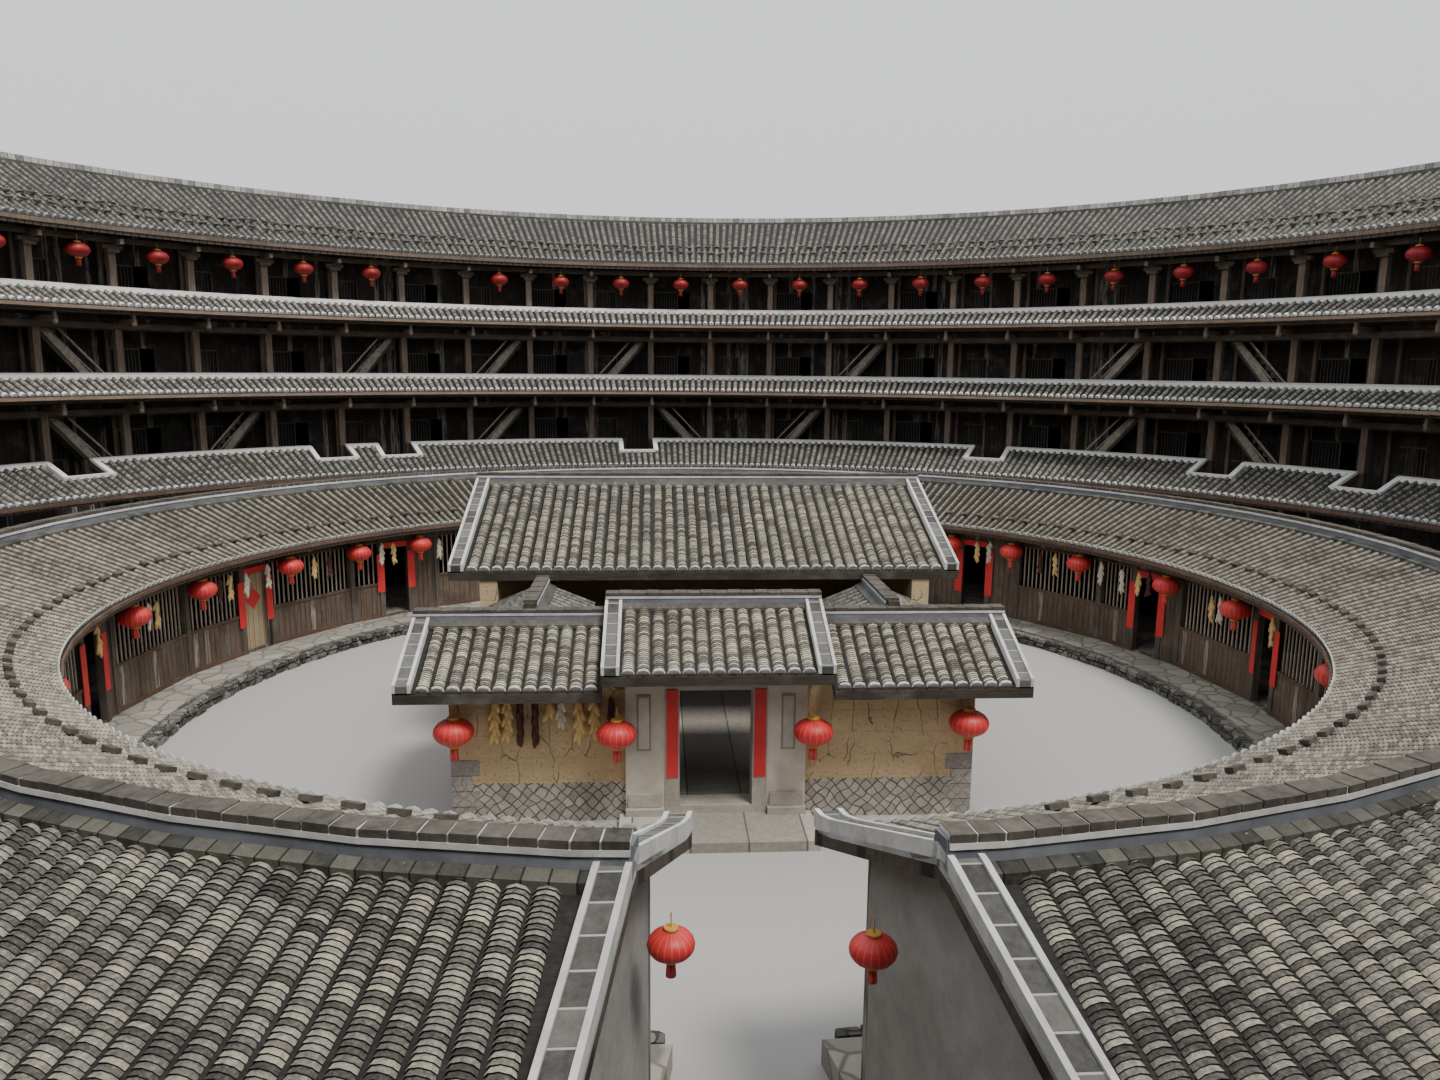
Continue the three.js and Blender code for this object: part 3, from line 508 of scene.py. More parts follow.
# The looks of each kind, with the values that the kind's function takes.
looks = {
    coverFinish: {  # light (painted light and shade), lichen, spread, side grime and painted shade, contrast, edge (painted lip shadow)
        "innerCover": ((1.5, 1.43, 1.31), 0.35, 0.35, 0.8, 0.6, 0.5),
        "outerCover": (0.96, 0.2),
        "hallCover": ((1.72, 1.67, 1.56), 0.3, 0.65),
        "sideCover": (0.9, 0.25, 0.3, 0.6),
    },
    farTileFinish: {  # courses, light (painted light and shade)
        "mainRows": (ringCourse(25.09, 0.0655), 0.62),
        "skirtRows": (ringCourse(24.58, 0.066), 1.15),
        "leanRows": (ringCourse(23.47, 0.066), 0.82),
    },
    slabFinish: {  # rafters, courses
        "ringSlab": (ringRow(560), ringCourse(13.63, 0.058)),
        "hallSlab": (straight("X", 0.283), straight("Y", 0.06)),
        "sideSlab": (straight("Y", 0.283), straight("X", 0.06)),
    },
    plainFinish: {  # dark, light, roughness, scale, depth, radius inside which it is near black
        "limeTile": ((0.30, 0.295, 0.27), (0.70, 0.69, 0.66), 0.85, 7.0, 0.006),
        "agedLime": ((0.10, 0.096, 0.088), (0.46, 0.45, 0.42), 0.9, 9.0, 0.006),
        "whiteLime": ((0.62, 0.61, 0.58), (0.92, 0.91, 0.88), 0.9, 5.0, 0.006),
        "lime": ((0.38, 0.37, 0.345), (0.82, 0.81, 0.78), 0.9, 4.0),
        "ridgePlaster": ((0.070, 0.075, 0.086), (0.21, 0.222, 0.245), 0.9, 3.0),
        "ridgeFoot": ((0.030, 0.030, 0.025), (0.15, 0.145, 0.122), 0.95, 8.0, 0.02),
        "darkBrick": ((0.020, 0.017, 0.014), (0.155, 0.136, 0.110), 0.9, 9.0),
        # a near-black panel: painted shade of the rooms behind the windows
        "roomDark": ((0.004, 0.004, 0.003), (0.012, 0.010, 0.009)),
        "greyWall": ((0.20, 0.193, 0.178), (0.42, 0.405, 0.375), 0.9, 2.5, 0.02),
        "backWall": ((0.20, 0.193, 0.178), (0.42, 0.405, 0.375), 0.9, 2.5, 0.02, 19.03),
        "gatePlaster": ((0.43, 0.382, 0.313), (0.79, 0.725, 0.62), 0.9, 2.0, 0.02),
        "dressedGranite": ((0.30, 0.268, 0.225), (0.54, 0.495, 0.425), 0.75, 12.0, 0.004),
        "gold": ((0.45, 0.22, 0.04), (0.70, 0.42, 0.09), 0.4, 5.0, 0.002),
        "paper": ((0.56, 0.018, 0.022), (0.80, 0.050, 0.048), 0.6, 5.0, 0.002),
        "board": ((0.40, 0.37, 0.31), (0.62, 0.59, 0.52), 0.8, 5.0, 0.004),
        "corn": ((0.56, 0.34, 0.12), (0.90, 0.66, 0.30), 0.7, 30.0, 0.01),
        "chilli": ((0.035, 0.009, 0.009), (0.12, 0.026, 0.022), 0.6, 20.0, 0.01),
        "husk": ((0.46, 0.40, 0.30), (0.80, 0.74, 0.60), 0.85, 20.0, 0.01),
    },
    jointedFinish: {  # tiles, dark, light, joint, width
        "ridgeFootRing": (
            ringRow(440), (0.026, 0.026, 0.021), (0.150, 0.144, 0.116), (0.018, 0.017, 0.014), 0.05,
        ),
        "mainRidge": (ringRow(700), (0.14, 0.135, 0.125), (0.52, 0.51, 0.48), (0.05, 0.047, 0.042)),
        "vergeTile": (straight("Y", 0.3), (0.045, 0.043, 0.038), (0.19, 0.185, 0.165)),
        "stoneSlabs": (
            straight("X", 1.1), (0.26, 0.240, 0.205), (0.52, 0.485, 0.42), (0.13, 0.12, 0.10), 0.02,
        ),
    },
    timberFinish: {  # dark, light, grain, planks, grey
        "post": ((0.055, 0.037, 0.026), (0.27, 0.200, 0.148), (9, 9, 0.7), None, 0.25),
        "timber": ((0.024, 0.018, 0.014), (0.085, 0.066, 0.050)),
        "fascia": ((0.060, 0.032, 0.021), (0.175, 0.096, 0.061), alongRing),
        "paleFascia": ((0.15, 0.098, 0.070), (0.36, 0.265, 0.195), alongRing),
        "beam": ((0.042, 0.031, 0.023), (0.17, 0.130, 0.098), alongRing),
        "darkBoard": ((0.020, 0.015, 0.011), (0.080, 0.062, 0.047), alongRing),
        "innerPlanks": ((0.028, 0.019, 0.013), (0.185, 0.130, 0.093), (7, 7, 0.6), ringPlanks(14.45, 0.2)),
        "roomPlanks": ((0.009, 0.007, 0.006), (0.056, 0.043, 0.034), (7, 7, 0.6), ringPlanks(27.4, 0.22)),
        "floorBoards": ((0.030, 0.024, 0.018), (0.11, 0.088, 0.068), (2, 2, 2), ringPlanks(27.0, 0.24)),
        "stairWood": ((0.030, 0.024, 0.019), (0.11, 0.090, 0.070), (3, 3, 3)),
        "stairRail": ((0.150, 0.128, 0.104), (0.48, 0.420, 0.345), (3, 3, 3)),
        "roomFrame": ((0.040, 0.032, 0.025), (0.150, 0.125, 0.100)),
        "leafWood": ((0.26, 0.185, 0.105), (0.50, 0.38, 0.24), (9, 9, 0.6), ringPlanks(14.5, 0.21), 0.1),
        "barWood": ((0.20, 0.168, 0.135), (0.52, 0.455, 0.37)),
    },
    earthFinish: {  # dark, light, lift, seam depth, plinth
        "earth": ((0.24, 0.145, 0.066), (0.49, 0.335, 0.172), 0.42, 0.75),
        "hallEarth": ((0.47, 0.325, 0.168), (0.74, 0.570, 0.345), 0.46, 0.1, hallPlinth),
    },
    stoneFinish: {  # density, dark, light, depth, gaps, moss
        "rubble": (2.4, (0.12, 0.11, 0.095), (0.34, 0.32, 0.29), 0.05),
        "paving": (1.7, (0.26, 0.245, 0.205), (0.40, 0.375, 0.32), 0.01, (0.17, 0.16, 0.135), 0.2),
        "kerbStone": (3.5, (0.050, 0.048, 0.042), (0.26, 0.250, 0.220), 0.02, (0.03, 0.03, 0.025), 0.5),
    },
    clothFinish: {  # dark, light, rib
        "lantern": ((0.50, 0.018, 0.020), (0.74, 0.050, 0.046), (0.86, 0.20, 0.16)),
        "deepLantern": ((0.17, 0.006, 0.008), (0.40, 0.015, 0.017), (0.50, 0.05, 0.05)),
    },
}
finishes = {name: kind(name, *look) for kind, rows in looks.items() for name, look in rows.items()}
print("finishes mixed")


# A part holds points, faces, which faces are smooth, and each face's tile course.
def part(verts, faces, smooth=False, course=0.0):
    soft = smooth if isinstance(smooth, list) else [smooth] * len(faces)
    steps = course if isinstance(course, list) else [course] * len(faces)
    return {"verts": [Vector(v) for v in verts], "faces": faces, "smooth": soft, "course": steps}


def merge(parts):
    whole = {"verts": [], "faces": [], "smooth": [], "course": []}
    for piece in parts:
        start = len(whole["verts"])
        whole["verts"].extend(piece["verts"])
        whole["faces"].extend([tuple(i + start for i in face) for face in piece["faces"]])
        whole["smooth"].extend(piece["smooth"])
        whole["course"].extend(piece["course"])
    return whole


def turned(piece, bearing, move=(0, 0, 0)):
    turn = Matrix.Rotation(math.radians(bearing), 4, "Z") @ Matrix.Translation(Vector(move))
    return {**piece, "verts": [turn @ v for v in piece["verts"]]}


def moved(piece, move):
    return {**piece, "verts": [v + Vector(move) for v in piece["verts"]]}


# Turns all the faces over when the first of them looks away from the way given.
def outward(piece, way):
    a, b, c = (piece["verts"][i] for i in piece["faces"][0][:3])
    if (b - a).cross(c - a).dot(Vector(way)) < 0:
        piece["faces"] = [tuple(reversed(face)) for face in piece["faces"]]
    return piece


def meshOf(name, piece, closed, row=None):
    mesh = bpy.data.meshes.new(name)
    mesh.from_pydata([tuple(v) for v in piece["verts"]], [], piece["faces"])
    mesh.update()
    mesh.polygons.foreach_set("use_smooth", piece["smooth"])
    mesh.attributes.new("course", "FLOAT", "FACE").data.foreach_set("value", piece["course"])
    if row is not None:
        mesh.attributes.new("row", "FLOAT", "FACE").data.foreach_set("value", row)
    if closed:
        shell = bmesh.new()
        shell.from_mesh(mesh)
        bmesh.ops.recalc_face_normals(shell, faces=shell.faces)
        shell.to_mesh(mesh)
        shell.free()
    return mesh


# Halves a mesh into the model's frame and lets it ride on a body.
def finishPiece(name, mesh, finish, body=house):
    mesh.transform(Matrix.Scale(modelScale, 4))
    mesh.materials.clear()
    mesh.materials.append(finishes[finish])
    piece = bpy.data.objects.new(name, mesh)
    bpy.context.scene.collection.objects.link(piece)
    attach(piece, body)


# With rows, each part is one row of tiles, numbered on its faces.
def makePiece(name, parts, finish, rows=False, body=house):
    row = None
    if rows:
        row = [float(i) for i, piece in enumerate(parts) for face in piece["faces"]]
    finishPiece(name, meshOf(name, merge(parts), not rows, row), finish, body)


# Geometry Nodes tree: copies of one piece, each turned about the Z axis and moved a step further.
# It numbers the copies and makes them slightly uneven with noise.
repeatInputs = {
    "Piece": "Geometry", "Count": "Int", "First Turn": "Float", "Step Turn": "Float", "Step Move": "Vector",
    "Uneven": "Float", "Uneven Scale": "Float", "Seed": "Float", "Finish": "Material",
}


def buildRepeatTree():
    tree = bpy.data.node_groups.new("repeatPiece", "GeometryNodeTree")
    sockets = {}
    for label, kind in repeatInputs.items():
        socket = tree.interface.new_socket(label, in_out="INPUT", socket_type="NodeSocket" + kind)
        sockets[label] = socket.identifier
    tree.interface.new_socket("Geometry", in_out="OUTPUT", socket_type="NodeSocketGeometry")
    given = newNode(tree, "NodeGroupInput").outputs

    def made(kind, inputs=None, **settings):
        return newNode(tree, kind, inputs, **settings).outputs[0]

    index = made("GeometryNodeInputIndex")
    move = made("ShaderNodeVectorMath", {0: given["Step Move"], "Scale": index}, operation="SCALE")
    points = made("GeometryNodePoints", {"Count": given["Count"], "Position": move})
    turns = {0: index, 1: given["Step Turn"], 2: given["First Turn"]}
    axis = made("ShaderNodeCombineXYZ", {"Z": made("ShaderNodeMath", turns, operation="MULTIPLY_ADD")})
    copies = {"Points": points, "Instance": given["Piece"], "Rotation": axis}
    numbers = {"Geometry": made("GeometryNodeInstanceOnPoints", copies), "Name": "row", "Value": index}
    numbered = made("GeometryNodeStoreNamedAttribute", numbers, data_type="FLOAT", domain="INSTANCE")
    noise = newNode(
        tree,
        "ShaderNodeTexNoise",
        {
            "Vector": made("GeometryNodeInputPosition"),
            "W": given["Seed"],
            "Scale": given["Uneven Scale"],
            "Detail": 2.0,
        },
        noise_dimensions="4D",
    )
    centred = {0: noise.outputs["Color"], 1: (0.5, 0.5, 0.5)}
    centred = made("ShaderNodeVectorMath", centred, operation="SUBTRACT")
    shift = made("ShaderNodeVectorMath", {0: centred, "Scale": given["Uneven"]}, operation="SCALE")
    whole = made("GeometryNodeRealizeInstances", {0: numbered})
    uneven = made("GeometryNodeSetPosition", {"Geometry": whole, "Offset": shift})
    painted = made("GeometryNodeSetMaterial", {"Geometry": uneven, "Material": given["Finish"]})
    newNode(tree, "NodeGroupOutput", {0: painted})
    return tree, sockets


repeatTree, repeatSockets = buildRepeatTree()
repeatDefaults = {
    "Count": 1,
    "First Turn": 0.0,
    "Step Turn": 0.0,
    "Step Move": (0.0, 0.0, 0.0),
    "Uneven": 0.0,
    "Uneven Scale": 0.8,
    "Seed": 1.0,
}


# Turns are in degrees here. The finished mesh has no modifier left.
def repeatPiece(name, template, finish, settings, closed=True):
    mesh = meshOf(name + "One", template, closed)
    carrier = bpy.data.objects.new(name + "One", mesh)
    bpy.context.scene.collection.objects.link(carrier)
    modifier = carrier.modifiers.new("repeatPiece", "NODES")
    modifier.node_group = repeatTree
    for label, value in {**repeatDefaults, **settings}.items():
        modifier[repeatSockets[label]] = math.radians(value) if "Turn" in label else value
    modifier[repeatSockets["Finish"]] = finishes[finish]
    graph = bpy.context.evaluated_depsgraph_get()
    made = bpy.data.meshes.new_from_object(carrier.evaluated_get(graph))
    carrier.modifiers.remove(modifier)
    bpy.data.objects.remove(carrier)
    made.name = name
    finishPiece(name, made, finish)


# Settings for copies round a ring; uneven is the noise's size and scale.
def aroundRing(count, first=0.0, step=None, uneven=(0.0, 0.8)):
    return {
        "Count": count,
        "First Turn": float(first),
        "Step Turn": float(360 / count if step is None else step),
        "Uneven": uneven[0],
        "Uneven Scale": uneven[1],
    }


boxFaces = [(0, 2, 3, 1), (4, 5, 7, 6), (0, 1, 5, 4), (2, 6, 7, 3), (0, 4, 6, 2), (1, 3, 7, 5)]


def boxPart(x0, x1, y0, y1, z0, z1):
    return part([(x, y, z) for z in (z0, z1) for y in (y0, y1) for x in (x0, x1)], boxFaces)


# A bar from one point to another with a rectangular section.
def barPart(start, end, width, depth):
    start, end = Vector(start), Vector(end)
    along = (end - start).normalized()
    up = Vector((0, 0, 1)) if abs(along.z) < 0.95 else Vector((0, 1, 0))
    side = along.cross(up).normalized() * width / 2
    rise = side.cross(along).normalized() * depth / 2
    verts = [p + s * side + r * rise for p in (start, end) for r in (-1, 1) for s in (-1, 1)]
    return part(verts, boxFaces)


# Head, sill and jambs round an opening, each as (near, far, thickness); near and far from a face.
def frameParts(half, low, high, face, frame):
    wide = half + frame["jamb"][2]
    near, far, thick = frame["head"]
    parts = [boxPart(-wide, wide, face + near, face + far, high, high + thick)]
    near, far, thick = frame["sill"]
    parts.append(boxPart(-wide, wide, face + near, face + far, low - thick, low))
    near, far, thick = frame["jamb"]
    for start, end in ((-wide, -half), (half, wide)):
        parts.append(boxPart(start, end, face + near, face + far, low, high))
    return parts


def lathePart(outline, sides, ribShare=1.0):
    # every other side is narrowed to the rib's share, and its course is 1
    verts = []
    count = len(outline)
    for step in range(sides):
        angle = 2 * math.pi * (step + (step % 2) * (ribShare - 1)) / sides
        for radius, height in outline:
            verts.append((radius * math.cos(angle), radius * math.sin(angle), height))
    faces, course = [], []
    for step in range(sides):
        first, after = step * count, (step + 1) % sides * count
        faces += [(first + i, after + i, after + i + 1, first + i + 1) for i in range(count - 1)]
        course += [float(step % 2 == 0)] * (count - 1)
    smooth = [True] * len(faces) + [False, False]
    faces += [tuple(step * count + end for step in range(sides)) for end in (0, count - 1)]
    return part(verts, faces, smooth, course + [0.0, 0.0])


# A ring of straight sides, one to a bay. Its corners' radius above a point:
def cornerRadius(radius, bearing, phase=0.0):
    offset = (bearing - phase) % bayAngle - bayAngle / 2
    return radius * math.cos(math.radians(offset)) / math.cos(math.radians(bayAngle / 2))


# The point on the side under a corner radius.
def onRing(radius, bearing, height, phase=0.0):
    reach = radius * radius / cornerRadius(radius, bearing, phase)
    angle = math.radians(bearing)
    return Vector((reach * math.sin(angle), -reach * math.cos(angle), height))


# A closed outline of (corner radius, height) points carried from one bearing to another.
def arcPart(outline, start, end, phase=0.0):
    first = math.ceil((start - phase) / bayAngle + 1e-6)
    last = math.floor((end - phase) / bayAngle - 1e-6)
    bearings = [start] + [phase + k * bayAngle for k in range(first, last + 1)] + [end]
    return tubePart([onRing(r, b, z, phase) for b in bearings for r, z in outline], len(outline))


# Joins equal outlines, given one after another, into a closed length.
def tubePart(verts, count):
    faces = []
    steps = len(verts) // count
    for k in range(steps - 1):
        for i in range(count):
            j = (i + 1) % count
            faces.append((k * count + i, (k + 1) * count + i, (k + 1) * count + j, k * count + j))
    last = (steps - 1) * count
    faces += [tuple(reversed(range(count))), tuple(range(last, last + count))]
    return part(verts, faces)


def rectangle(near, far, low, high):
    return [(near, low), (far, low), (far, high), (near, high)]


# An outline carried all the way round the outer ring.
def outerRing(outline):
    return arcPart(outline, outerPhase, outerPhase + 360, phase=outerPhase)


# Directions on a slope from its low end to its high end: along, across and away from the roof.
def slopeWays(low, high):
    along = (high - low).normalized()
    across = Vector((1, 0, 0)) if abs(along.x) < 0.01 else Vector((0, 1, 0))
    normal = across.cross(along)
    return along, across, normal if normal.z > 0 else -normal


# Sections of a cover tile and of a limed end: (across, up) in half widths and rises.
tileSection = [(-1.0, -0.35), (-0.68, 0.45), (0.0, 0.85), (0.68, 0.45), (1.0, -0.35)]
limedSection = [(-1.05, -0.5), (-0.75, 0.75), (0.0, 1.15), (0.75, 0.75), (1.05, -0.5)]
upperWidth = 0.93  # the share of its width that a tile has where the next one covers it
limedStart = 0.005


# One row of cover tiles from the eave up to the ridge; each tile's lower end stands proud.
def rowPart(low, high, tile):
    low, high = Vector(low), Vector(high)
    along, across, normal = slopeWays(low, high)
    count = max(1, round((high - low).length / tile["pitch"]))
    pitch = (high - low).length / count
    narrow = upperWidth if tile["lip"] else 1.0
    points = len(tileSection)
    verts, faces, smooth, course = [], [], [], []
    for i in range(count):
        for distance, lip, width in ((i * pitch, tile["lip"], 1.0), ((i + 1) * pitch, 0.0, narrow)):
            for side, rise in tileSection:
                place = low + along * distance + across * side * tile["halfWidth"] * width
                verts.append(place + normal * (tile["lift"] + rise * tile["rise"] + lip))
        for j in range(points - 1):
            corner = 2 * points * i + j
            faces.append((corner, corner + 1, corner + 1 + points, corner + points))
            smooth.append(True)
            course.append(i + sideCourse if j in (0, points - 2) else float(i))
        if i > 0 and tile["lip"]:
            for j in range(1, points - 2):
                corner = 2 * points * i + j
                faces.append((corner - points, corner - points + 1, corner + 1, corner))
                smooth.append(False)
                course.append(i + edgeCourse)
    return outward(part(verts, faces, smooth, course), normal)


# The limed end of a row at the eave: a short half-round with a closed face.
def rowEndPart(low, high, tile):
    low, high = Vector(low), Vector(high)
    along, across, normal = slopeWays(low, high)
    verts = []
    for distance in (limedStart, tile["end"]):
        for side, rise in limedSection:
            place = low + along * distance + across * side * tile["halfWidth"]
            verts.append(place + normal * (tile["lift"] + tile["lip"] + rise * tile["rise"]))
    return tubePart(verts, len(limedSection))


# Rows of tiles and the limed ends of the rows.
def repeatRows(name, low, high, tile, finish, ends, settings):
    repeatPiece(name + "Tiles", rowPart(low, high, tile), finish, settings, closed=False)
    repeatPiece(name + "TileEnds", rowEndPart(low, high, tile), ends, settings)


addCamera()
addDaylight()

# The roofs over the inner ring: slopes from their low edge to their high edge, as (radius, height).
nearTile = {"pitch": 0.058, "rise": 0.064, "lip": 0.02, "lift": 0.012, "end": 0.03}
nearUneven = (0.03, 0.9)
ringSlopes = {
    "innerSlopeTiles": {
        "low": (13.65, 3.459), "high": (16.74, 4.625), "rows": 344, "halfWidth": 0.112,
        "finish": "innerCover",
    },
    "outerSlopeTiles": {
        "low": (20.00, 3.462), "high": (16.92, 4.625), "rows": 412, "halfWidth": 0.121,
        "finish": "outerCover",
    },
}
passage = {
    "halfWidth": 0.75, "flare": 0.19, "start": 13.63, "clear": 8.0, "margin": 0.44,
    "tests": 60, "leastTests": 4,
}


def passageHalf(reach):
    return passage["halfWidth"] + passage["flare"] * (reach - passage["start"])


# The part of a row that the passage and its verges leave, or None.
def clippedSlope(low, high, bearing):
    keep = []
    for i in range(passage["tests"] + 1):
        share = i / passage["tests"]
        radius = low[0] + (high[0] - low[0]) * share
        across = abs(radius * math.sin(math.radians(bearing)))
        reach = radius * math.cos(math.radians(bearing))
        if across > passageHalf(reach) + passage["margin"]:
            keep.append(share)
    if len(keep) < passage["leastTests"]:
        return None
    return [tuple(a + (b - a) * share for a, b in zip(low, high)) for share in (keep[0], keep[-1])]


def slopePoint(place):
    return (0.0, -place[0], place[1])


# Whole rows are repeated; the rows beside the passage are cut one by one.
def addRingTiles():
    for name, slope in ringSlopes.items():
        step = 360 / slope["rows"]
        span = math.ceil(passage["clear"] / step)
        low, high = slopePoint(slope["low"]), slopePoint(slope["high"])
        tile = {**nearTile, "halfWidth": slope["halfWidth"]}
        row, limed = rowPart(low, high, tile), rowEndPart(low, high, tile)
        count = slope["rows"] - 2 * span + 1
        half = count // 2
        for side, first, number in (("Right", span, half), ("Left", span + half, count - half)):
            settings = aroundRing(number, first * step, step, nearUneven)
            repeatPiece(name + side, row, slope["finish"], settings, closed=False)
        settings = aroundRing(count, span * step, step, nearUneven)
        repeatPiece(name + "Ends", limed, "limeTile", settings)
        rows, ends = [], []
        for i in range(1 - span, span):
            cut = clippedSlope(slope["low"], slope["high"], i * step)
            if cut is None:
                continue
            rows.append(turned(rowPart(slopePoint(cut[0]), slopePoint(cut[1]), tile), i * step))
            if cut[0][0] == slope["low"][0]:
                ends.append(turned(limed, i * step))
        makePiece(name + "ByPassage", rows, slope["finish"], rows=True)
        if ends:
            makePiece(name + "EndsByPassage", ends, "limeTile")


addRingTiles()
print("inner ring tiled")

# The roofs of the outer ring, seen from farther off, have plain rows.
farTile = {"pitch": 1.5, "halfWidth": 0.106, "rise": 0.1, "lip": 0.0, "end": 0.13}
farUneven = (0.05, 0.5)
farSlopes = {
    "mainInner": {
        "low": (25.12, 13.765), "high": (29.9, 16.228), "rows": 560, "finish": "mainRows", "lift": 0.02,
        "ends": "agedLime",
    },
    "mainOuter": {
        "low": (34.78, 13.81), "high": (30.18, 16.228), "rows": 672, "finish": "mainRows", "lift": -0.02,
        "ends": "agedLime",
    },
    "lowerSkirt": {
        "low": (24.62, 7.76), "high": (25.93, 8.434), "rows": 536, "finish": "skirtRows", "lift": 0.01,
        "ends": "whiteLime",
    },
    "upperSkirt": {
        "low": (24.62, 10.91), "high": (25.93, 11.584), "rows": 536, "finish": "skirtRows", "lift": 0.01,
        "ends": "whiteLime",
    },
}
leanTo = {"low": (23.5, 4.283), "high": (25.93, 5.34), "rows": 528, "lift": 0.01}
notch = {
    "halfWidth": 0.725, "inner": 24.85, "middle": 25.3, "gap": 0.1,
    "bearings": [180 - a for a in (69.0, 56.2, 33.6, -4.7, -30.4, -36.9, -59.6)],
}


def addFarSlopes():
    for name, slope in farSlopes.items():
        low, high = slopePoint(slope["low"]), slopePoint(slope["high"])
        settings = aroundRing(slope["rows"], uneven=farUneven)
        tile = {**farTile, "lift": slope["lift"]}
        repeatRows(name, low, high, tile, slope["finish"], slope["ends"], settings)


# The lean-to's rows stop below each notch.
def addLeanTo():
    step = 360 / leanTo["rows"]
    tile = {**farTile, "lift": leanTo["lift"]}
    low, high = leanTo["low"], leanTo["high"]
    share = (notch["inner"] - low[0]) / (high[0] - low[0])
    cut = tuple(a + (b - a) * share for a, b in zip(low, high))
    rows = []
    for i in range(leanTo["rows"]):
        aside = [notch["middle"] * math.radians(i * step - bearing) for bearing in notch["bearings"]]
        short = min(abs(distance) for distance in aside) < notch["halfWidth"] + notch["gap"]
        row = rowPart(slopePoint(low), slopePoint(cut if short else high), tile)
        rows.append(turned(row, i * step))
    makePiece("leanToTiles", rows, "leanRows", rows=True)
    limed = rowEndPart(slopePoint(low), slopePoint(high), tile)
    repeatPiece("leanToTileEnds", limed, "limeTile", aroundRing(leanTo["rows"]))
    makePiece("leanToMortar", leanToMortar(), "whiteLime")


# White mortar along the lean-to's top edge and round three sides of each notch.
notchMortar = {
    "top": [(25.72, 5.24), (25.985, 5.34), (25.985, 5.44), (25.76, 5.40)],
    "radius": 25.9, "clear": 0.02,
    "side": {"past": 0.11, "low": (-24.7, 4.86), "high": (-25.8, 5.34), "width": 0.2, "depth": 0.14},
    "foot": {"past": 0.2, "place": (-24.79, 4.90), "width": 0.2, "depth": 0.13},
}


def leanToMortar():
    side, foot = notchMortar["side"], notchMortar["foot"]
    half = math.degrees((notch["halfWidth"] + notchMortar["clear"]) / notchMortar["radius"])
    edges = notch["bearings"]
    parts = []
    for start, end in zip(edges, edges[1:] + [edges[0] + 360]):
        parts.append(arcPart(notchMortar["top"], start + half, end - half, phase=outerPhase))
    bars = []
    for sign in (-1, 1):
        x = sign * (notch["halfWidth"] + side["past"])
        bars.append(barPart((x, *side["low"]), (x, *side["high"]), side["width"], side["depth"]))
    x = notch["halfWidth"] + foot["past"]
    bars.append(barPart((-x, *foot["place"]), (x, *foot["place"]), foot["width"], foot["depth"]))
    return parts + [turned(bar, bearing) for bearing in edges for bar in bars]


# Bands all the way round: inner and outer radius, low and high edge, finish.
ringBands = {
    "mainRoofFascia": (25.05, 25.10, 13.60, 13.74, "post"),
    "mainRoofOuterFascia": (34.86, 34.895, 13.50, 13.72, "post"),
    "lowerSkirtFascia": (24.54, 24.59, 7.62, 7.73, "paleFascia"),
    "upperSkirtFascia": (24.54, 24.59, 10.77, 10.88, "paleFascia"),
    "leanToFascia": (23.43, 23.48, 4.15, 4.26, "fascia"),
    "lowerHeadBeam": (25.86, 25.99, 7.00, 7.22, "beam"),
    "upperHeadBeam": (25.86, 25.99, 10.14, 10.36, "beam"),
    "topHeadBeam": (25.84, 25.99, 13.25, 13.45, "beam"),
    "mainRidgeFoot": (29.70, 30.38, 16.08, 16.30, "ridgeFoot"),
}
skirtMortar = {
    "outline": [(25.66, -0.03), (25.985, 0.1), (25.985, 0.21), (25.70, 0.14)],
    "heights": {"lowerSkirtMortar": 8.33, "upperSkirtMortar": 11.48},
}


def addRingBands():
    for name, (*sizes, finish) in ringBands.items():
        makePiece(name, [outerRing(rectangle(*sizes))], finish)
    for name, height in skirtMortar["heights"].items():
        outline = [(radius, height + z) for radius, z in skirtMortar["outline"]]
        makePiece(name, [outerRing(outline)], "whiteLime")


addFarSlopes()
addLeanTo()
addRingBands()
print("outer roofs tiled")

# The inner ring's ridge: dark bricks on bluish plaster with a white line, over broken tiles.
innerRidge = {
    "radius": 16.83, "top": 4.9, "brick": 0.264, "halfWidth": 0.135, "joint": 0.02, "proud": 0.05,
    "bed": 0.03, "crooked": 0.008, "uneven": (0.02, 2.0), "bandClear": 0.02, "brickClear": 0.015,
}
innerBands = {
    "innerRidgeFoot": (
        [(16.53, 4.52), (17.13, 4.52), (17.13, 4.655), (16.98, 4.695), (16.68, 4.695), (16.53, 4.655)],
        "ridgeFootRing",
    ),
    "innerRidgeLine": ([(16.685, 4.812), (16.975, 4.812), (16.97, 4.87), (16.69, 4.87)], "lime"),
    "innerRidgeBed": (rectangle(16.71, 16.95, 4.87, 4.94), "lime"),
    "innerRoofFascia": (rectangle(13.59, 13.64, 3.35, 3.44), "fascia"),
    "innerRoofOuterFascia": (rectangle(20.02, 20.07, 3.28, 3.44), "fascia"),
}


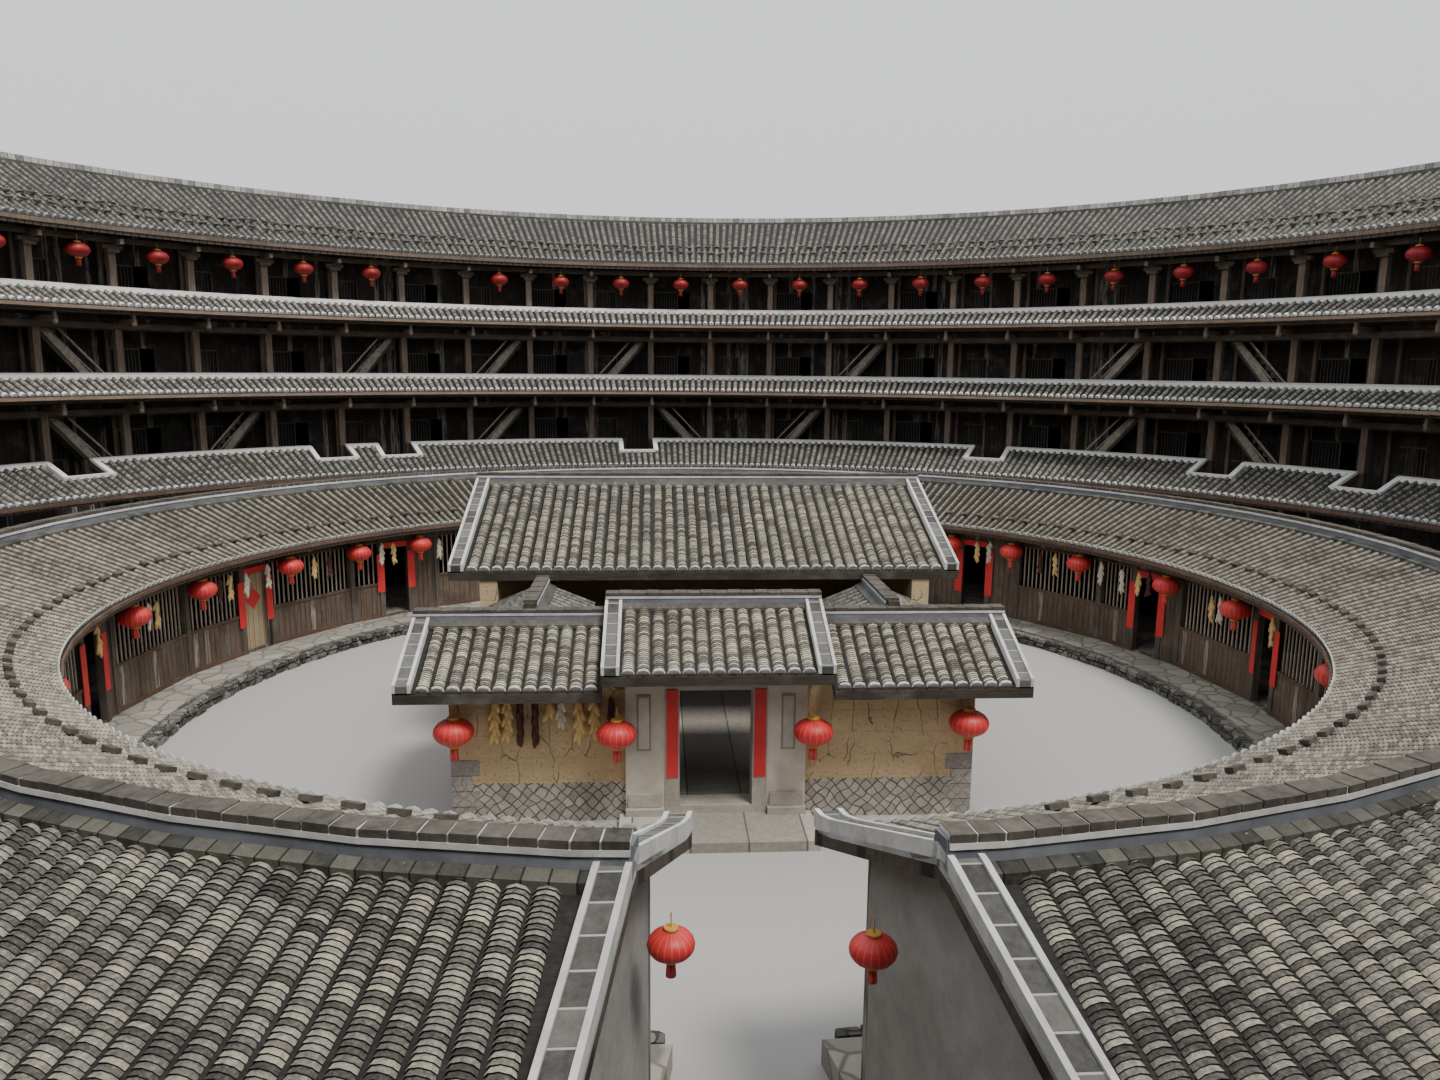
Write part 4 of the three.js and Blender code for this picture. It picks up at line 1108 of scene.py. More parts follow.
def addInnerRidge():
    for name, (outline, finish) in innerBands.items():
        middle = sum(r for r, z in outline) / len(outline)
        start = math.degrees(math.asin((passageHalf(middle) + innerRidge["bandClear"]) / middle))
        makePiece(name, [arcPart(outline, start, 360 - start)], finish)
    radius, top, joint = innerRidge["radius"], innerRidge["top"], innerRidge["joint"] / 2
    side = 2 * radius * math.sin(math.radians(bayAngle / 2))
    count = round(side / innerRidge["brick"])
    length = side / count
    middle = radius * math.cos(math.radians(bayAngle / 2))
    near, far = -middle - innerRidge["halfWidth"], -middle + innerRidge["halfWidth"]
    bricks = []
    for i in range(count):
        x = i * length - side / 2
        high = top + innerRidge["proud"] + innerRidge["crooked"] * (i % 2)
        bricks.append(boxPart(x + joint, x + length - joint, near, far, top - innerRidge["bed"], high))
    settings = aroundRing(bayCount - 2, 1.5 * bayAngle, bayAngle, innerRidge["uneven"])
    repeatPiece("innerRidgeBricks", merge(bricks), "darkBrick", settings)
    makePiece("innerRidgeLastBricks", lastBricks(), "darkBrick")


# The bricks between the passage and the first whole side.
def lastBricks():
    radius, half, top = (innerRidge[key] for key in ("radius", "halfWidth", "top"))
    outline = rectangle(radius - half, radius + half, top - innerRidge["bed"], top + innerRidge["proud"])
    start = math.degrees(math.asin((passageHalf(radius) + innerRidge["brickClear"]) / radius))
    count = round(radius * math.radians(bayAngle - start) / innerRidge["brick"])
    step = (bayAngle - start) / count
    joint = math.degrees(innerRidge["joint"] / 2 / radius)
    bricks = []
    for i in range(count):
        near, far = start + i * step + joint, start + (i + 1) * step - joint
        bricks += [arcPart(outline, near, far), arcPart(outline, 360 - far, 360 - near)]
    return bricks


# Broken lines of loose bricks hold the tiles of the inner and the main roof's slopes down.
looseBrickSize = (0.25, 0.13, 0.07)
looseBricks = {
    "inner": {"radius": 14.36, "count": 150, "skip": 6, "lift": 0.118, "uneven": (0.12, 1.4)},
    "mainLow": {"radius": 26.0, "count": 330, "skip": 0, "lift": 0.165, "uneven": (0.3, 1.4)},
    "mainHigh": {"radius": 26.7, "count": 370, "skip": 0, "lift": 0.165, "uneven": (0.35, 1.4)},
}


def addLooseBricks():
    for name, line in looseBricks.items():
        slope = ringSlopes["innerSlopeTiles"] if name == "inner" else farSlopes["mainInner"]
        low, high = slope["low"], slope["high"]
        lean = math.atan2(high[1] - low[1], high[0] - low[0])
        height = low[1] + (line["radius"] - low[0]) * math.tan(lean) + line["lift"]
        brick = boxPart(*(sign * size / 2 for size in looseBrickSize for sign in (-1, 1)))
        tilt = Matrix.Rotation(-lean, 4, "X")
        brick = moved({**brick, "verts": [tilt @ v for v in brick["verts"]]}, (0, -line["radius"], height))
        step = 360 / line["count"]
        number = line["count"] - max(0, 2 * line["skip"] - 1)
        settings = aroundRing(number, line["skip"] * step, step, line["uneven"])
        repeatPiece(name + "LooseBricks", brick, "darkBrick", settings)


addInnerRidge()
addLooseBricks()
print("inner ridge laid")

# Raised verges: dark flat tiles between two white lines, along a path of points on the roof.
verge = {"width": 0.34, "line": 0.06, "top": 0.13, "lineTop": 0.165, "foot": -0.06}


def stripPart(path, inward, start, end, top):
    verts = []
    for point in path:
        for aside, up in rectangle(start, end, verge["foot"], top):
            verts.append(Vector(point) + Vector(inward) * aside + Vector((0, 0, up)))
    return tubePart(verts, 4)


def addVerges(name, paths):
    width, line = verge["width"], verge["line"]
    dark, pale = [], []
    for path, inward in paths:
        dark.append(stripPart(path, inward, line, width - line, verge["top"]))
        pale.append(stripPart(path, inward, 0.0, line, verge["lineTop"]))
        pale.append(stripPart(path, inward, width - line, width, verge["lineTop"]))
    makePiece(name + "VergeTiles", dark, "vergeTile")
    makePiece(name + "VergeLines", pale, "lime")


# The verges beside the passage turn up a little at their lower ends.
passageVerges = {
    "eaves": (13.63, 20.03), "run": 3.2, "height": 3.45, "rise": 1.21,
    "reaches": (13.55, 13.75, 14.1, 15.5, 16.7, 16.95, 18, 19.8, 20.0),
    "lifts": (0.1, 0.03, 0, 0, 0, 0, 0, 0.03, 0.1),
}


def passageVerge(side):
    inner, outer = passageVerges["eaves"]
    path = []
    for reach, lift in zip(passageVerges["reaches"], passageVerges["lifts"]):
        x = side * passageHalf(reach)
        corner = cornerRadius(math.hypot(x, reach), math.degrees(math.atan2(x, reach)))
        run = min(corner - inner, outer - corner) / passageVerges["run"]
        path.append((x, -reach, passageVerges["height"] + passageVerges["rise"] * run + lift))
    return path, (side, 0, 0)


addVerges("passage", [passageVerge(-1), passageVerge(1)])

# The hall's gable roofs run along X: low edge, ridge and back edge as (y, height).
wingSection = {"low": (-6.65, 2.95), "ridge": (-4.7, 3.85), "high": (-2.75, 2.95)}
hallRoofs = {
    "gateRoof": {
        "low": (-6.8, 3.3), "ridge": (-4.75, 4.2), "high": (-2.8, 3.3), "from": -2.2, "to": 2.2,
        "verges": ("from", "to"),
    },
    "wingRoofLeft": {**wingSection, "from": -6.05, "to": -2.2, "verges": ("from",)},
    "wingRoofRight": {**wingSection, "from": 2.2, "to": 6.05, "verges": ("to",)},
    "mainHallRoof": {
        "low": (-2.0, 4.31), "ridge": (2.2, 5.9), "high": (6.4, 4.31), "from": -5.9, "to": 5.9,
        "verges": ("from", "to"),
    },
}
hallTile = {"pitch": 0.06, "halfWidth": 0.118, "rise": 0.068, "lip": 0.016, "lift": 0.012, "end": 0.06}
sideTile = {"pitch": 0.06, "halfWidth": 0.105, "rise": 0.05, "lip": 0.01, "lift": 0.012}
hallRow = {"spacing": 0.283, "inset": 0.02, "raised": 0.008, "pastRidge": (0.1, -0.04)}


def addHallRoofs():
    paths = []
    spacing = hallRow["spacing"]
    for name, roof in hallRoofs.items():
        limits = {"from": roof["from"], "to": roof["to"]}
        for edge in roof["verges"]:
            inward = 1 if edge == "from" else -1
            path = [(roof[edge], *roof[key]) for key in ("low", "ridge", "high")]
            paths.append((path, (inward, 0, 0)))
            limits[edge] += inward * verge["width"]
        count = int((limits["to"] - limits["from"]) / spacing)
        first = (limits["from"] + limits["to"]) / 2 - (count - 1) * spacing / 2
        settings = {
            "Count": count,
            "Step Move": (spacing, 0.0, 0.0),
            "Uneven": nearUneven[0],
            "Uneven Scale": nearUneven[1],
        }
        for side, sign, edge in (("Front", 1, roof["low"]), ("Back", -1, roof["high"])):
            eave = (first, edge[0] + sign * hallRow["inset"], edge[1] + hallRow["raised"])
            past, drop = hallRow["pastRidge"]
            top = (first, roof["ridge"][0] - sign * past, roof["ridge"][1] + drop)
            repeatRows(name + side, eave, top, hallTile, "hallCover", "limeTile", settings)
        addHallRidge(name, roof, "X")
        addHallFascia(name, roof)
    addVerges("hall", paths)


# An outline of (across, height) points carried along X or Y.
def alongPart(outline, start, end, axis):
    if axis == "X":
        verts = [(place, across, z) for place in (start, end) for across, z in outline]
    else:
        verts = [(across, place, z) for place in (start, end) for across, z in outline]
    return tubePart(verts, len(outline))


gableInset = 0.01
hallRidge = {
    "Ridge": ([(-0.17, -0.05), (0.17, -0.05), (0.125, 0.19), (-0.125, 0.19)], "ridgePlaster"),
    "RidgeLine": (rectangle(-0.15, 0.15, 0.12, 0.165), "lime"),
    "RidgeFoot": (
        [(-0.3, -0.11), (0.3, -0.11), (0.3, -0.045), (0.16, 0.035), (-0.16, 0.035), (-0.3, -0.045)],
        "ridgeFoot",
    ),
}
ridgeBrick = {
    "length": 0.27, "joint": 0.012, "halfWidth": 0.145, "low": 0.18, "high": 0.235, "crooked": 0.008,
}
hallFascia = {"near": 0.005, "far": 0.03, "low": -0.21, "high": -0.03}


def addHallRidge(name, roof, axis):
    centre, top = roof["ridge"]
    start, end = roof["from"], roof["to"]
    for label, (shape, finish) in hallRidge.items():
        outline = [(centre + across, top + z) for across, z in shape]
        ridge = alongPart(outline, start + gableInset, end - gableInset, axis)
        makePiece(name + label, [ridge], finish)
    count = round((end - start) / ridgeBrick["length"])
    length = (end - start) / count
    half, joint = ridgeBrick["halfWidth"], ridgeBrick["joint"] / 2
    bricks = []
    for i in range(count):
        low, high = top + ridgeBrick["low"], top + ridgeBrick["high"] + ridgeBrick["crooked"] * (i % 2)
        outline = rectangle(centre - half, centre + half, low, high)
        place = start + i * length
        bricks.append(alongPart(outline, place + joint, place + length - joint, axis))
    makePiece(name + "RidgeBricks", bricks, "darkBrick")


def addHallFascia(name, roof):
    start, end = roof["from"] + gableInset, roof["to"] - gableInset
    boards = []
    for (y, z), sign in ((roof["low"], -1), (roof["high"], 1)):
        near, far = sorted((y + sign * hallFascia["near"], y + sign * hallFascia["far"]))
        boards.append(boxPart(start, end, near, far, z + hallFascia["low"], z + hallFascia["high"]))
    makePiece(name + "Fascia", boards, "darkBoard")


addHallRoofs()
print("hall roofs tiled")

# Two small roofs along Y join the wings to the main hall; the wings' back slopes cut them off.
sideRoof = {
    "low": (5.5, 3.25), "ridge": (3.75, 3.98), "high": (2.6, 3.5), "from": -4.5, "to": -1.9,
    "clear": 0.06, "shortest": 0.25,
}


def wingBackHeight(y):
    (ridgeY, ridgeZ), (backY, backZ) = wingSection["ridge"], wingSection["high"]
    if y > backY:
        return 0.0
    return ridgeZ - (y - ridgeY) * (ridgeZ - backZ) / (backY - ridgeY) + sideRoof["clear"]


def addSideRoofs():
    ridgeX, ridgeZ = sideRoof["ridge"]
    for name, side in (("sideRoofLeft", -1), ("sideRoofRight", 1)):
        rows = []
        for lowX, lowZ in (sideRoof["low"], sideRoof["high"]):
            slope = (ridgeZ - lowZ) / (ridgeX - lowX)
            for i in range(int((sideRoof["to"] - sideRoof["from"]) / hallRow["spacing"]) + 1):
                y = sideRoof["from"] + i * hallRow["spacing"]
                startZ = max(lowZ, wingBackHeight(y))
                startX = lowX + (startZ - lowZ) / slope
                if abs(ridgeX - startX) > sideRoof["shortest"]:
                    eave = (side * startX, y, startZ + hallRow["raised"])
                    rows.append(rowPart(eave, (side * ridgeX, y, ridgeZ), sideTile))
        makePiece(name + "Tiles", rows, "sideCover", rows=True)
        addHallRidge(name, {**sideRoof, "ridge": (side * ridgeX, ridgeZ)}, "Y")


addSideRoofs()
print("side roofs tiled")

# Lanterns: ribbed red cloth between gilded caps, hung on a short rod, with a red tail.
# The shares are of the radius or half the height; the other sizes are for a lantern of size 1.
lantern = {
    "radius": 0.39, "height": 0.5, "sides": 40, "ribShare": 0.3, "steps": 8, "widest": 0.41,
    "neckShare": 0.3, "capSides": 12, "capShare": 0.98, "capHeight": 0.05,
    "tailShares": (0.6, 0.75), "tailGap": 0.03, "tailLength": 0.3, "tailSides": 10,
    "rodLength": 0.3, "rodWidth": 0.015,
}
topLanterns = {"radius": 25.5, "height": 12.84, "count": 55, "firstBay": 3}
facadeLanterns = {
    "radius": 13.95, "height": 2.8,
    "bearings": [269.6, 257.2, 242.6, 231.7, 222.1, 294, 307, 320, 333],
}
hallLanterns = [(-5.03, -6.25, 2.05), (-1.93, -6.35, 2.0), (1.86, -6.35, 2.0), (4.95, -6.25, 2.1)]
passageLanterns = [(-1.02, -15.5, 3.15), (1.02, -15.7, 3.15)]
passageLanternSize = 0.64


def lanternParts(size=1.0):
    radius, half = lantern["radius"] * size, lantern["height"] * size / 2
    last = math.pi * lantern["widest"]
    shape = []
    for i in range(lantern["steps"] + 1):
        angle = last * (2 * i / lantern["steps"] - 1)
        shape.append((radius * math.cos(angle), half * math.sin(angle) / math.sin(last)))
    neck = lantern["neckShare"] * radius
    cloth = lathePart(shape, lantern["sides"], lantern["ribShare"])
    top, foot = (share * neck for share in lantern["tailShares"])
    tail = [(top, -half - lantern["tailGap"]), (foot, -half - lantern["tailLength"] * size)]
    caps = []
    for sign in (-1, 1):
        edges = (sign * half * lantern["capShare"], sign * (half + lantern["capHeight"] * size))
        caps.append(lathePart([(neck, z) for z in sorted(edges)], lantern["capSides"]))
    hook = (0, 0, half + lantern["rodLength"] * size)
    rod = barPart((0, 0, half), hook, lantern["rodWidth"], lantern["rodWidth"])
    return {
        "Cloth": (merge([cloth, lathePart(tail, lantern["tailSides"])]), "lantern"),
        "Caps": (merge(caps + [rod]), "gold"),
    }


def addLanterns():
    bearings = facadeLanterns["bearings"]
    bearings = bearings + [360 - bearing for bearing in bearings]
    facadePlace = (0, -facadeLanterns["radius"], facadeLanterns["height"])
    topPlace = (0, -topLanterns["radius"], topLanterns["height"])
    first = 180 + topLanterns["firstBay"] * bayAngle
    for label, (shape, finish) in lanternParts().items():
        settings = aroundRing(topLanterns["count"], first, -bayAngle)
        deep = "deepLantern" if finish == "lantern" else finish
        repeatPiece("topLantern" + label, moved(shape, topPlace), deep, settings)
        makePiece("facadeLantern" + label, [turned(shape, b, facadePlace) for b in bearings], finish)
        makePiece("hallLantern" + label, [moved(shape, place) for place in hallLanterns], finish)
    for label, (shape, finish) in lanternParts(passageLanternSize).items():
        makePiece("passageLantern" + label, [moved(shape, place) for place in passageLanterns], finish)


addLanterns()
print("lanterns hung")

# The courtyard front of the inner ring. Doorways are bay: sideways shift, as in the solids.
# The layers of a piece are (behind the face, before the face, low edge, high edge).
innerFront = {"face": 14.5, "post": 0.2, "barStep": 0.165}
frontFace = innerFront["face"] * math.cos(math.radians(innerBayAngle / 2))
frontCorner = innerFront["face"] * math.sin(math.radians(innerBayAngle / 2))
frontBar = {"halfWidth": 0.021, "layer": (0.08, -0.05, 1.54, 2.96)}
frontBoards = ((0.02, 0.03, 1.49, 1.56), (0.02, 0.025, 2.93, 3.0), (0.02, 0.025, 0.36, 0.48))
frontPost = {"halfWidth": 0.09, "layer": (0.1, 0.045, 0.355, 3.16)}
innerDoor = {"width": 0.9, "post": 0.18}
doorAside = (innerDoor["width"] + innerDoor["post"]) / 2
doorways = {
    2: 0, 4: 0.4, 6: 1.0, 8: -0.4, 10: 0, 12: 0, 15: 0, 17: 0, 19: -1.04, 21: -0.54, 23: 0.4, 25: 0,
}


def frontBox(x0, x1, layer):
    behind, before, low, high = layer
    return boxPart(x0, x1, -frontFace - behind, -frontFace + before, low, high)


# The barred opening of a bay, from side to side.
def barredWidth(bay):
    half = frontCorner - innerFront["post"] / 2
    if bay not in doorways:
        return -half, half
    clear = innerDoor["width"] / 2 + innerDoor["post"]
    shift = doorways[bay]
    return (-half, shift - clear) if shift > 0 else (shift + clear, half)


def addInnerFront():
    bars, sills, posts = [], [], []
    for bay in range(1, innerBayCount - 1):
        bearing = (bay + 0.5) * innerBayAngle
        start, end = barredWidth(bay)
        count = max(1, round((end - start) / innerFront["barStep"]))
        for i in range(1, count):
            x, half = start + (end - start) * i / count, frontBar["halfWidth"]
            bars.append(turned(frontBox(x - half, x + half, frontBar["layer"]), bearing))
        for layer in frontBoards:
            sills.append(turned(frontBox(start, end, layer), bearing))
        edges = [-frontCorner]
        if bay in doorways:
            edges += [doorways[bay] - doorAside, doorways[bay] + doorAside]
        for x in edges:
            half = frontPost["halfWidth"]
            posts.append(turned(frontBox(x - half, x + half, frontPost["layer"]), bearing))
    makePiece("innerBars", bars, "barWood")
    makePiece("innerSills", sills, "fascia")
    makePiece("innerPosts", posts, "roomFrame")


# Bare red strips beside and over the doorways, of five lengths, and a diamond on the leaf.
doorPaper = {
    "halfWidth": 0.135, "aside": 0.045, "layer": (-0.04, 0.055), "low": 1.0, "high": 2.55,
    "shorter": 0.06, "bare": (12, 15), "headerInset": 0.05, "header": (-0.01, 0.045, 2.74, 2.92),
}
leafDiamond = {"bay": 19, "height": 1.95, "halfDiagonal": 0.33, "behind": 0.059, "thick": 0.006}


def addDoorPapers():
    strips = []
    half, inset = doorPaper["halfWidth"], doorAside - doorPaper["headerInset"]
    for bay, shift in doorways.items():
        if bay in doorPaper["bare"]:
            continue
        low = doorPaper["low"] + doorPaper["shorter"] * ((bay * 7) % 5)
        layer = (*doorPaper["layer"], low, doorPaper["high"])
        pieces = []
        for sign in (-1, 1):
            x = shift + sign * (doorAside + doorPaper["aside"])
            pieces.append(frontBox(x - half, x + half, layer))
        pieces.append(frontBox(shift - inset, shift + inset, doorPaper["header"]))
        strips += [turned(piece, (bay + 0.5) * innerBayAngle) for piece in pieces]
    makePiece("doorPapers", strips, "paper")
    half, x, z = leafDiamond["halfDiagonal"], doorways[leafDiamond["bay"]], leafDiamond["height"]
    y = -frontFace - leafDiamond["behind"]
    corners = [(x, z - half), (x + half, z), (x, z + half), (x - half, z)]
    diamond = alongPart(corners, y - leafDiamond["thick"], y, "Y")
    bearing = (leafDiamond["bay"] + 0.5) * innerBayAngle
    makePiece("leafDiamond", [turned(diamond, bearing)], "paper", body=leafBody)


addInnerFront()
addDoorPapers()

# Harvest hung up to dry: bundles of cobs, husks and pods, fanned out below a knot.
bundle = {
    "cobs": 15, "spread": 0.42, "sway": 0.15, "step": 0.04, "radius": 0.04, "length": 0.23, "sides": 6,
    "shape": [(0.3, -1.0), (1.0, -0.7), (1.0, -0.25), (0.3, 0.0)],
}
facadeHook = {"radius": 14.02, "height": 3.02, "step": 0.05}
facadeHarvest = [
    (276.5, "corn"), (266.4, "husk"), (264.9, "corn"), (253.9, "chilli"), (252.2, "corn"),
    (249.5, "husk"), (246.0, "husk"), (238.6, "corn"), (236.2, "chilli"), (228.0, "husk"),
    (226.1, "corn"), (219.0, "husk"),
]
hallBundle = {"size": 1.3, "y": -5.9, "top": 2.6}
hallHarvest = {
    "corn": (0.36, [(-4.31, 14), (-4.06, 13), (-3.26, 5), (-2.68, 14), (-2.38, 12)]),
    "chilli": (0.13, [(-3.82, 15), (-3.53, 15), (-2.06, 7)]),
    "husk": (0.3, [(-3.03, 8)]),
}


def bundleParts(seed, size=1.0, count=bundle["cobs"], spread=bundle["spread"]):
    radius, length = bundle["radius"] * size, bundle["length"] * size
    outline = [(across * radius, along * length) for across, along in bundle["shape"]]
    cobs = []
    for i in range(count):
        lean = spread * ((i * 3 + seed) % 5 / 2 - 1)
        sway = bundle["sway"] * ((i + seed) % 3 - 1)
        tilt = Matrix.Rotation(lean, 4, "Y") @ Matrix.Rotation(sway, 4, "X")
        drop = Vector((0, 0, -bundle["step"] * size * i))
        cob = lathePart(outline, bundle["sides"])
        cobs.append({**cob, "verts": [tilt @ v + drop for v in cob["verts"]]})
    return merge(cobs)


def addHarvest():
    kinds = {"corn": [], "chilli": [], "husk": []}
    for i, (bearing, kind) in enumerate(facadeHarvest):
        place = (0, -facadeHook["radius"], facadeHook["height"] - facadeHook["step"] * (i % 3))
        for turn in (bearing, 360 - bearing):
            kinds[kind].append(turned(bundleParts(i), turn, place))
    for kind, (spread, places) in hallHarvest.items():
        for i, (x, count) in enumerate(places):
            hung = bundleParts(i, hallBundle["size"], count, spread)
            kinds[kind].append(moved(hung, (x, hallBundle["y"], hallBundle["top"])))
    for kind, parts in kinds.items():
        makePiece(kind + "Bundles", parts, kind)


addHarvest()
print("courtyard front fitted")

# The galleries. Each storey has its floor height and its head beam; every bay corner has a post.
# A plan is (x0, x1, y0, y1) of a box in the bay at the main gate.
storeys = {2: 4.3, 3: 7.4, 4: 10.55}
headBeams = {2: 7.0, 3: 10.14, 4: 13.25}
beamEnd = {
    "tops": {"lower": 7.34, "upper": 10.49}, "plan": (-0.065, 0.065, -26.05, -24.78), "height": 0.17,
    "strutPlan": (-0.05, 0.05, -24.95, -24.8), "strutHeight": 0.2,
    "boss": [(0.05, -0.1), (0.1, -0.06), (0.1, 0.06), (0.05, 0.1)], "bossSides": 8,
    "bossRadius": 24.86, "bossDrop": 0.02, "purlin": (24.78, 24.94, 0.15, 0.3),
}
topCapital = [
    (-0.36, 0.36, -26.04, -25.86, 13.02, 13.16),
    (-0.22, 0.22, -26.06, -25.80, 12.9, 13.02),
    (-0.07, 0.07, -25.95, -25.2, 13.16, 13.34),
]
postSkin = {"plan": (-0.125, 0.125, -26.22, -25.965), "above": 1.07}
backPost = {"plan": (1.285, 1.415, -27.265, -27.135), "above": 0.02, "past": 0.2}
roomWindow = {
    "halfWidth": 0.575, "height": 0.95, "sill": 1.05, "face": -27.36, "shift": (0.72, 0, 0),
    "dark": 0.012, "bars": 8, "barHalf": 0.014, "barFace": 0.035,
    "frame": {"head": (0.0, 0.05, 0.06), "sill": (0.0, 0.06, 0.07), "jamb": (0.0, 0.045, 0.05)},
}


# Beam ends under each skirt, with a round boss below, and eave beams that they carry.
def addBeamEnds():
    aroundPosts = aroundRing(bayCount, outerPhase)
    near, far, bottom, top = beamEnd["purlin"]
    for name, high in beamEnd["tops"].items():
        low = high - beamEnd["height"]
        beam = boxPart(*beamEnd["plan"], low, high)
        strut = boxPart(*beamEnd["strutPlan"], high, high + beamEnd["strutHeight"])
        boss = lathePart(beamEnd["boss"], beamEnd["bossSides"])
        boss = moved(boss, (0, -beamEnd["bossRadius"], low - beamEnd["bossDrop"]))
        shape = merge([beam, strut, boss])
        repeatPiece(name + "BeamEnds", shape, "post", aroundPosts)
        ring = outerRing(rectangle(near, far, high + bottom, high + top))
        makePiece(name + "EaveBeam", [ring], "beam")
    capital = merge([boxPart(*box) for box in topCapital])
    repeatPiece("topCapitals", capital, "beam", aroundPosts)


# The posts get a weathered skin, and thinner posts stand behind them before the rooms.
def addPosts():
    for storey, floor in storeys.items():
        head = headBeams[storey]
        skin = boxPart(*postSkin["plan"], floor + postSkin["above"], head)
        settings = aroundRing(bayCount, outerPhase)
        repeatPiece(f"frontPosts{storey}", skin, "post", settings)
        thin = boxPart(*backPost["plan"], floor + backPost["above"], head + backPost["past"])
        repeatPiece(f"backPosts{storey}", thin, "post", aroundRing(bayCount))


# Each room has a barred window in its plank front, with a near-black panel behind the bars: painted shade of
# the room inside.
def addRoomWindows():
    half, face, barHalf = (roomWindow[key] for key in ("halfWidth", "face", "barHalf"))
    darkFace, barFace = face + roomWindow["dark"], face + roomWindow["barFace"]
    count = roomWindow["bars"]
    for storey, floor in storeys.items():
        low = floor + roomWindow["sill"]
        high = low + roomWindow["height"]
        # the near-black panel behind the bars is painted shade
        dark = boxPart(-half, half, face, darkFace, low, high)
        bars = frameParts(half, low, high, face, roomWindow["frame"])
        for i in range(1, count + 1):
            x = -half + 2 * half * i / (count + 1)
            bars.append(boxPart(x - barHalf, x + barHalf, darkFace, barFace, low, high))
        for name, shape, finish in (("Bars", merge(bars), "roomFrame"), ("Dark", dark, "roomDark")):
            shape = moved(shape, roomWindow["shift"])
            repeatPiece(f"room{name}{storey}", shape, finish, aroundRing(bayCount))


# Two side boards and two rails for each flight: (bay, side) by storey, as in the solids.
flights = {
    2: [(-9, -1), (-7, 1), (-3, 1), (0, -1), (2, 1), (7, 1), (9, -1)],
    3: [(-9, -1), (-5, 1), (-3, 1), (-1, 1), (3, 1), (7, 1), (9, -1)],
}
stair = {
    "radius": 26.76, "halfRun": 1.25, "aside": 0.37, "footLift": 0.05, "headDrop": 0.1,
    "board": (0.05, 0.26), "rails": [(0.85, 0.51, (0.06, 0.07)), (0.425, 0.085, (0.05, 0.05))],
}


def addStairRails():
    parts = []
    for storey, places in flights.items():
        low, high = storeys[storey] + stair["footLift"], storeys[storey + 1] - stair["headDrop"]
        for bay, side in places:
            run = side * stair["halfRun"]
            bars = []
            for aside in (-stair["aside"], stair["aside"]):
                y = -stair["radius"] + aside
                bars.append(barPart((run, y, low), (-run, y, high), *stair["board"]))
            for footUp, headUp, size in stair["rails"]:
                bars.append(barPart((run, y, low + footUp), (-run, y, high + headUp), *size))
            parts += [turned(bar, 180 - bay * bayAngle) for bar in bars]
    makePiece("stairRails", parts, "stairRail")


addBeamEnds()
addPosts()
addRoomWindows()
addStairRails()
print("galleries fitted")

# Kerb of rough stones along the terrace, two courses high. Widths and depths vary by shares.
kerb = {
    "radius": 13.22, "depth": 0.2, "courses": ((0.0, 0.18), (0.18, 0.345)), "stone": 0.46, "clear": 5.2,
    "last": 1.2, "sideGap": 0.03, "topGap": 0.02, "sunk": 0.06, "widths": (0.65, 0.8),
    "depths": (0.9, 0.4), "inset": 0.12, "edge": 0.7,
}
drawSeeds = (12.9898, 78.233, 43758.5453)


def drawnShare(i, course):
    return (math.sin(i * drawSeeds[0] + course * drawSeeds[1]) * drawSeeds[2]) % 1


def roughStone(width, height, depth, lean):
    verts = []
    for y, inset in ((0.0, 0.0), (depth * kerb["edge"], 0.0), (depth, kerb["inset"])):
        for x, z in ((0, 0), (1, 0), (1, 1), (0, 1)):
            aside = x * width + inset * width * (0.5 - x) * 2 * (1 + lean)
            up = z * height + inset * height * (0.5 - z) * 2 * (1 - lean)
            verts.append(Vector((aside, y, up)))
    return tubePart(verts, 4)


def addKerb():
    stones = []
    for course, (low, high) in enumerate(kerb["courses"]):
        bearing = kerb["clear"]
        i = 0
        while bearing < 360 - kerb["clear"] - kerb["last"]:
            share = drawnShare(i, course)
            width, depth = (
                kerb[size] * (kerb[shares][0] + kerb[shares][1] * share)
                for size, shares in (("stone", "widths"), ("depth", "depths"))
            )
            height = high - low - kerb["topGap"]
            stone = roughStone(width - kerb["sideGap"], height, depth, share - 0.5)
            half = math.degrees(width / 2 / kerb["radius"])
            place = (-width / 2, -kerb["radius"] + kerb["sunk"], low)
            stones.append(turned(stone, bearing + half, place))
            bearing += 2 * half
            i += 1
    makePiece("terraceKerb", stones, "kerbStone")


addKerb()

# The hall's gate: bare red strips on the stone jambs, pale plaques and stepped blocks beside them.
# Each box is given on the right and mirrored to the left.
hallGate = {
    "hallGatePapers": ("paper", None, [(0.75, 0.98, -5.99, -5.968, 0.95, 2.75)]),
    "hallPlaques": ("board", None, [(1.32, 1.52, -5.972, -5.952, 1.55, 2.6)]),
    "hallPlaqueFrames": ("greyWall", None, [(1.28, 1.56, -5.962, -5.951, 1.5, 2.65)]),
    "hallGateBlocks": (
        "dressedGranite",
        "granite",
        [(1.02, 1.78, -6.12, -5.94, 0.0, 0.34), (1.07, 1.73, -6.02, -5.94, 0.35, 0.62)],
    ),
}


def addHallGate():
    for name, (finish, slotName, boxes) in hallGate.items():
        parts = [boxPart(*box) for box in boxes]
        parts += [boxPart(-box[1], -box[0], *box[2:]) for box in boxes]
        makePiece(name, parts, finish)


addHallGate()
print("kerb and hall gate fitted")

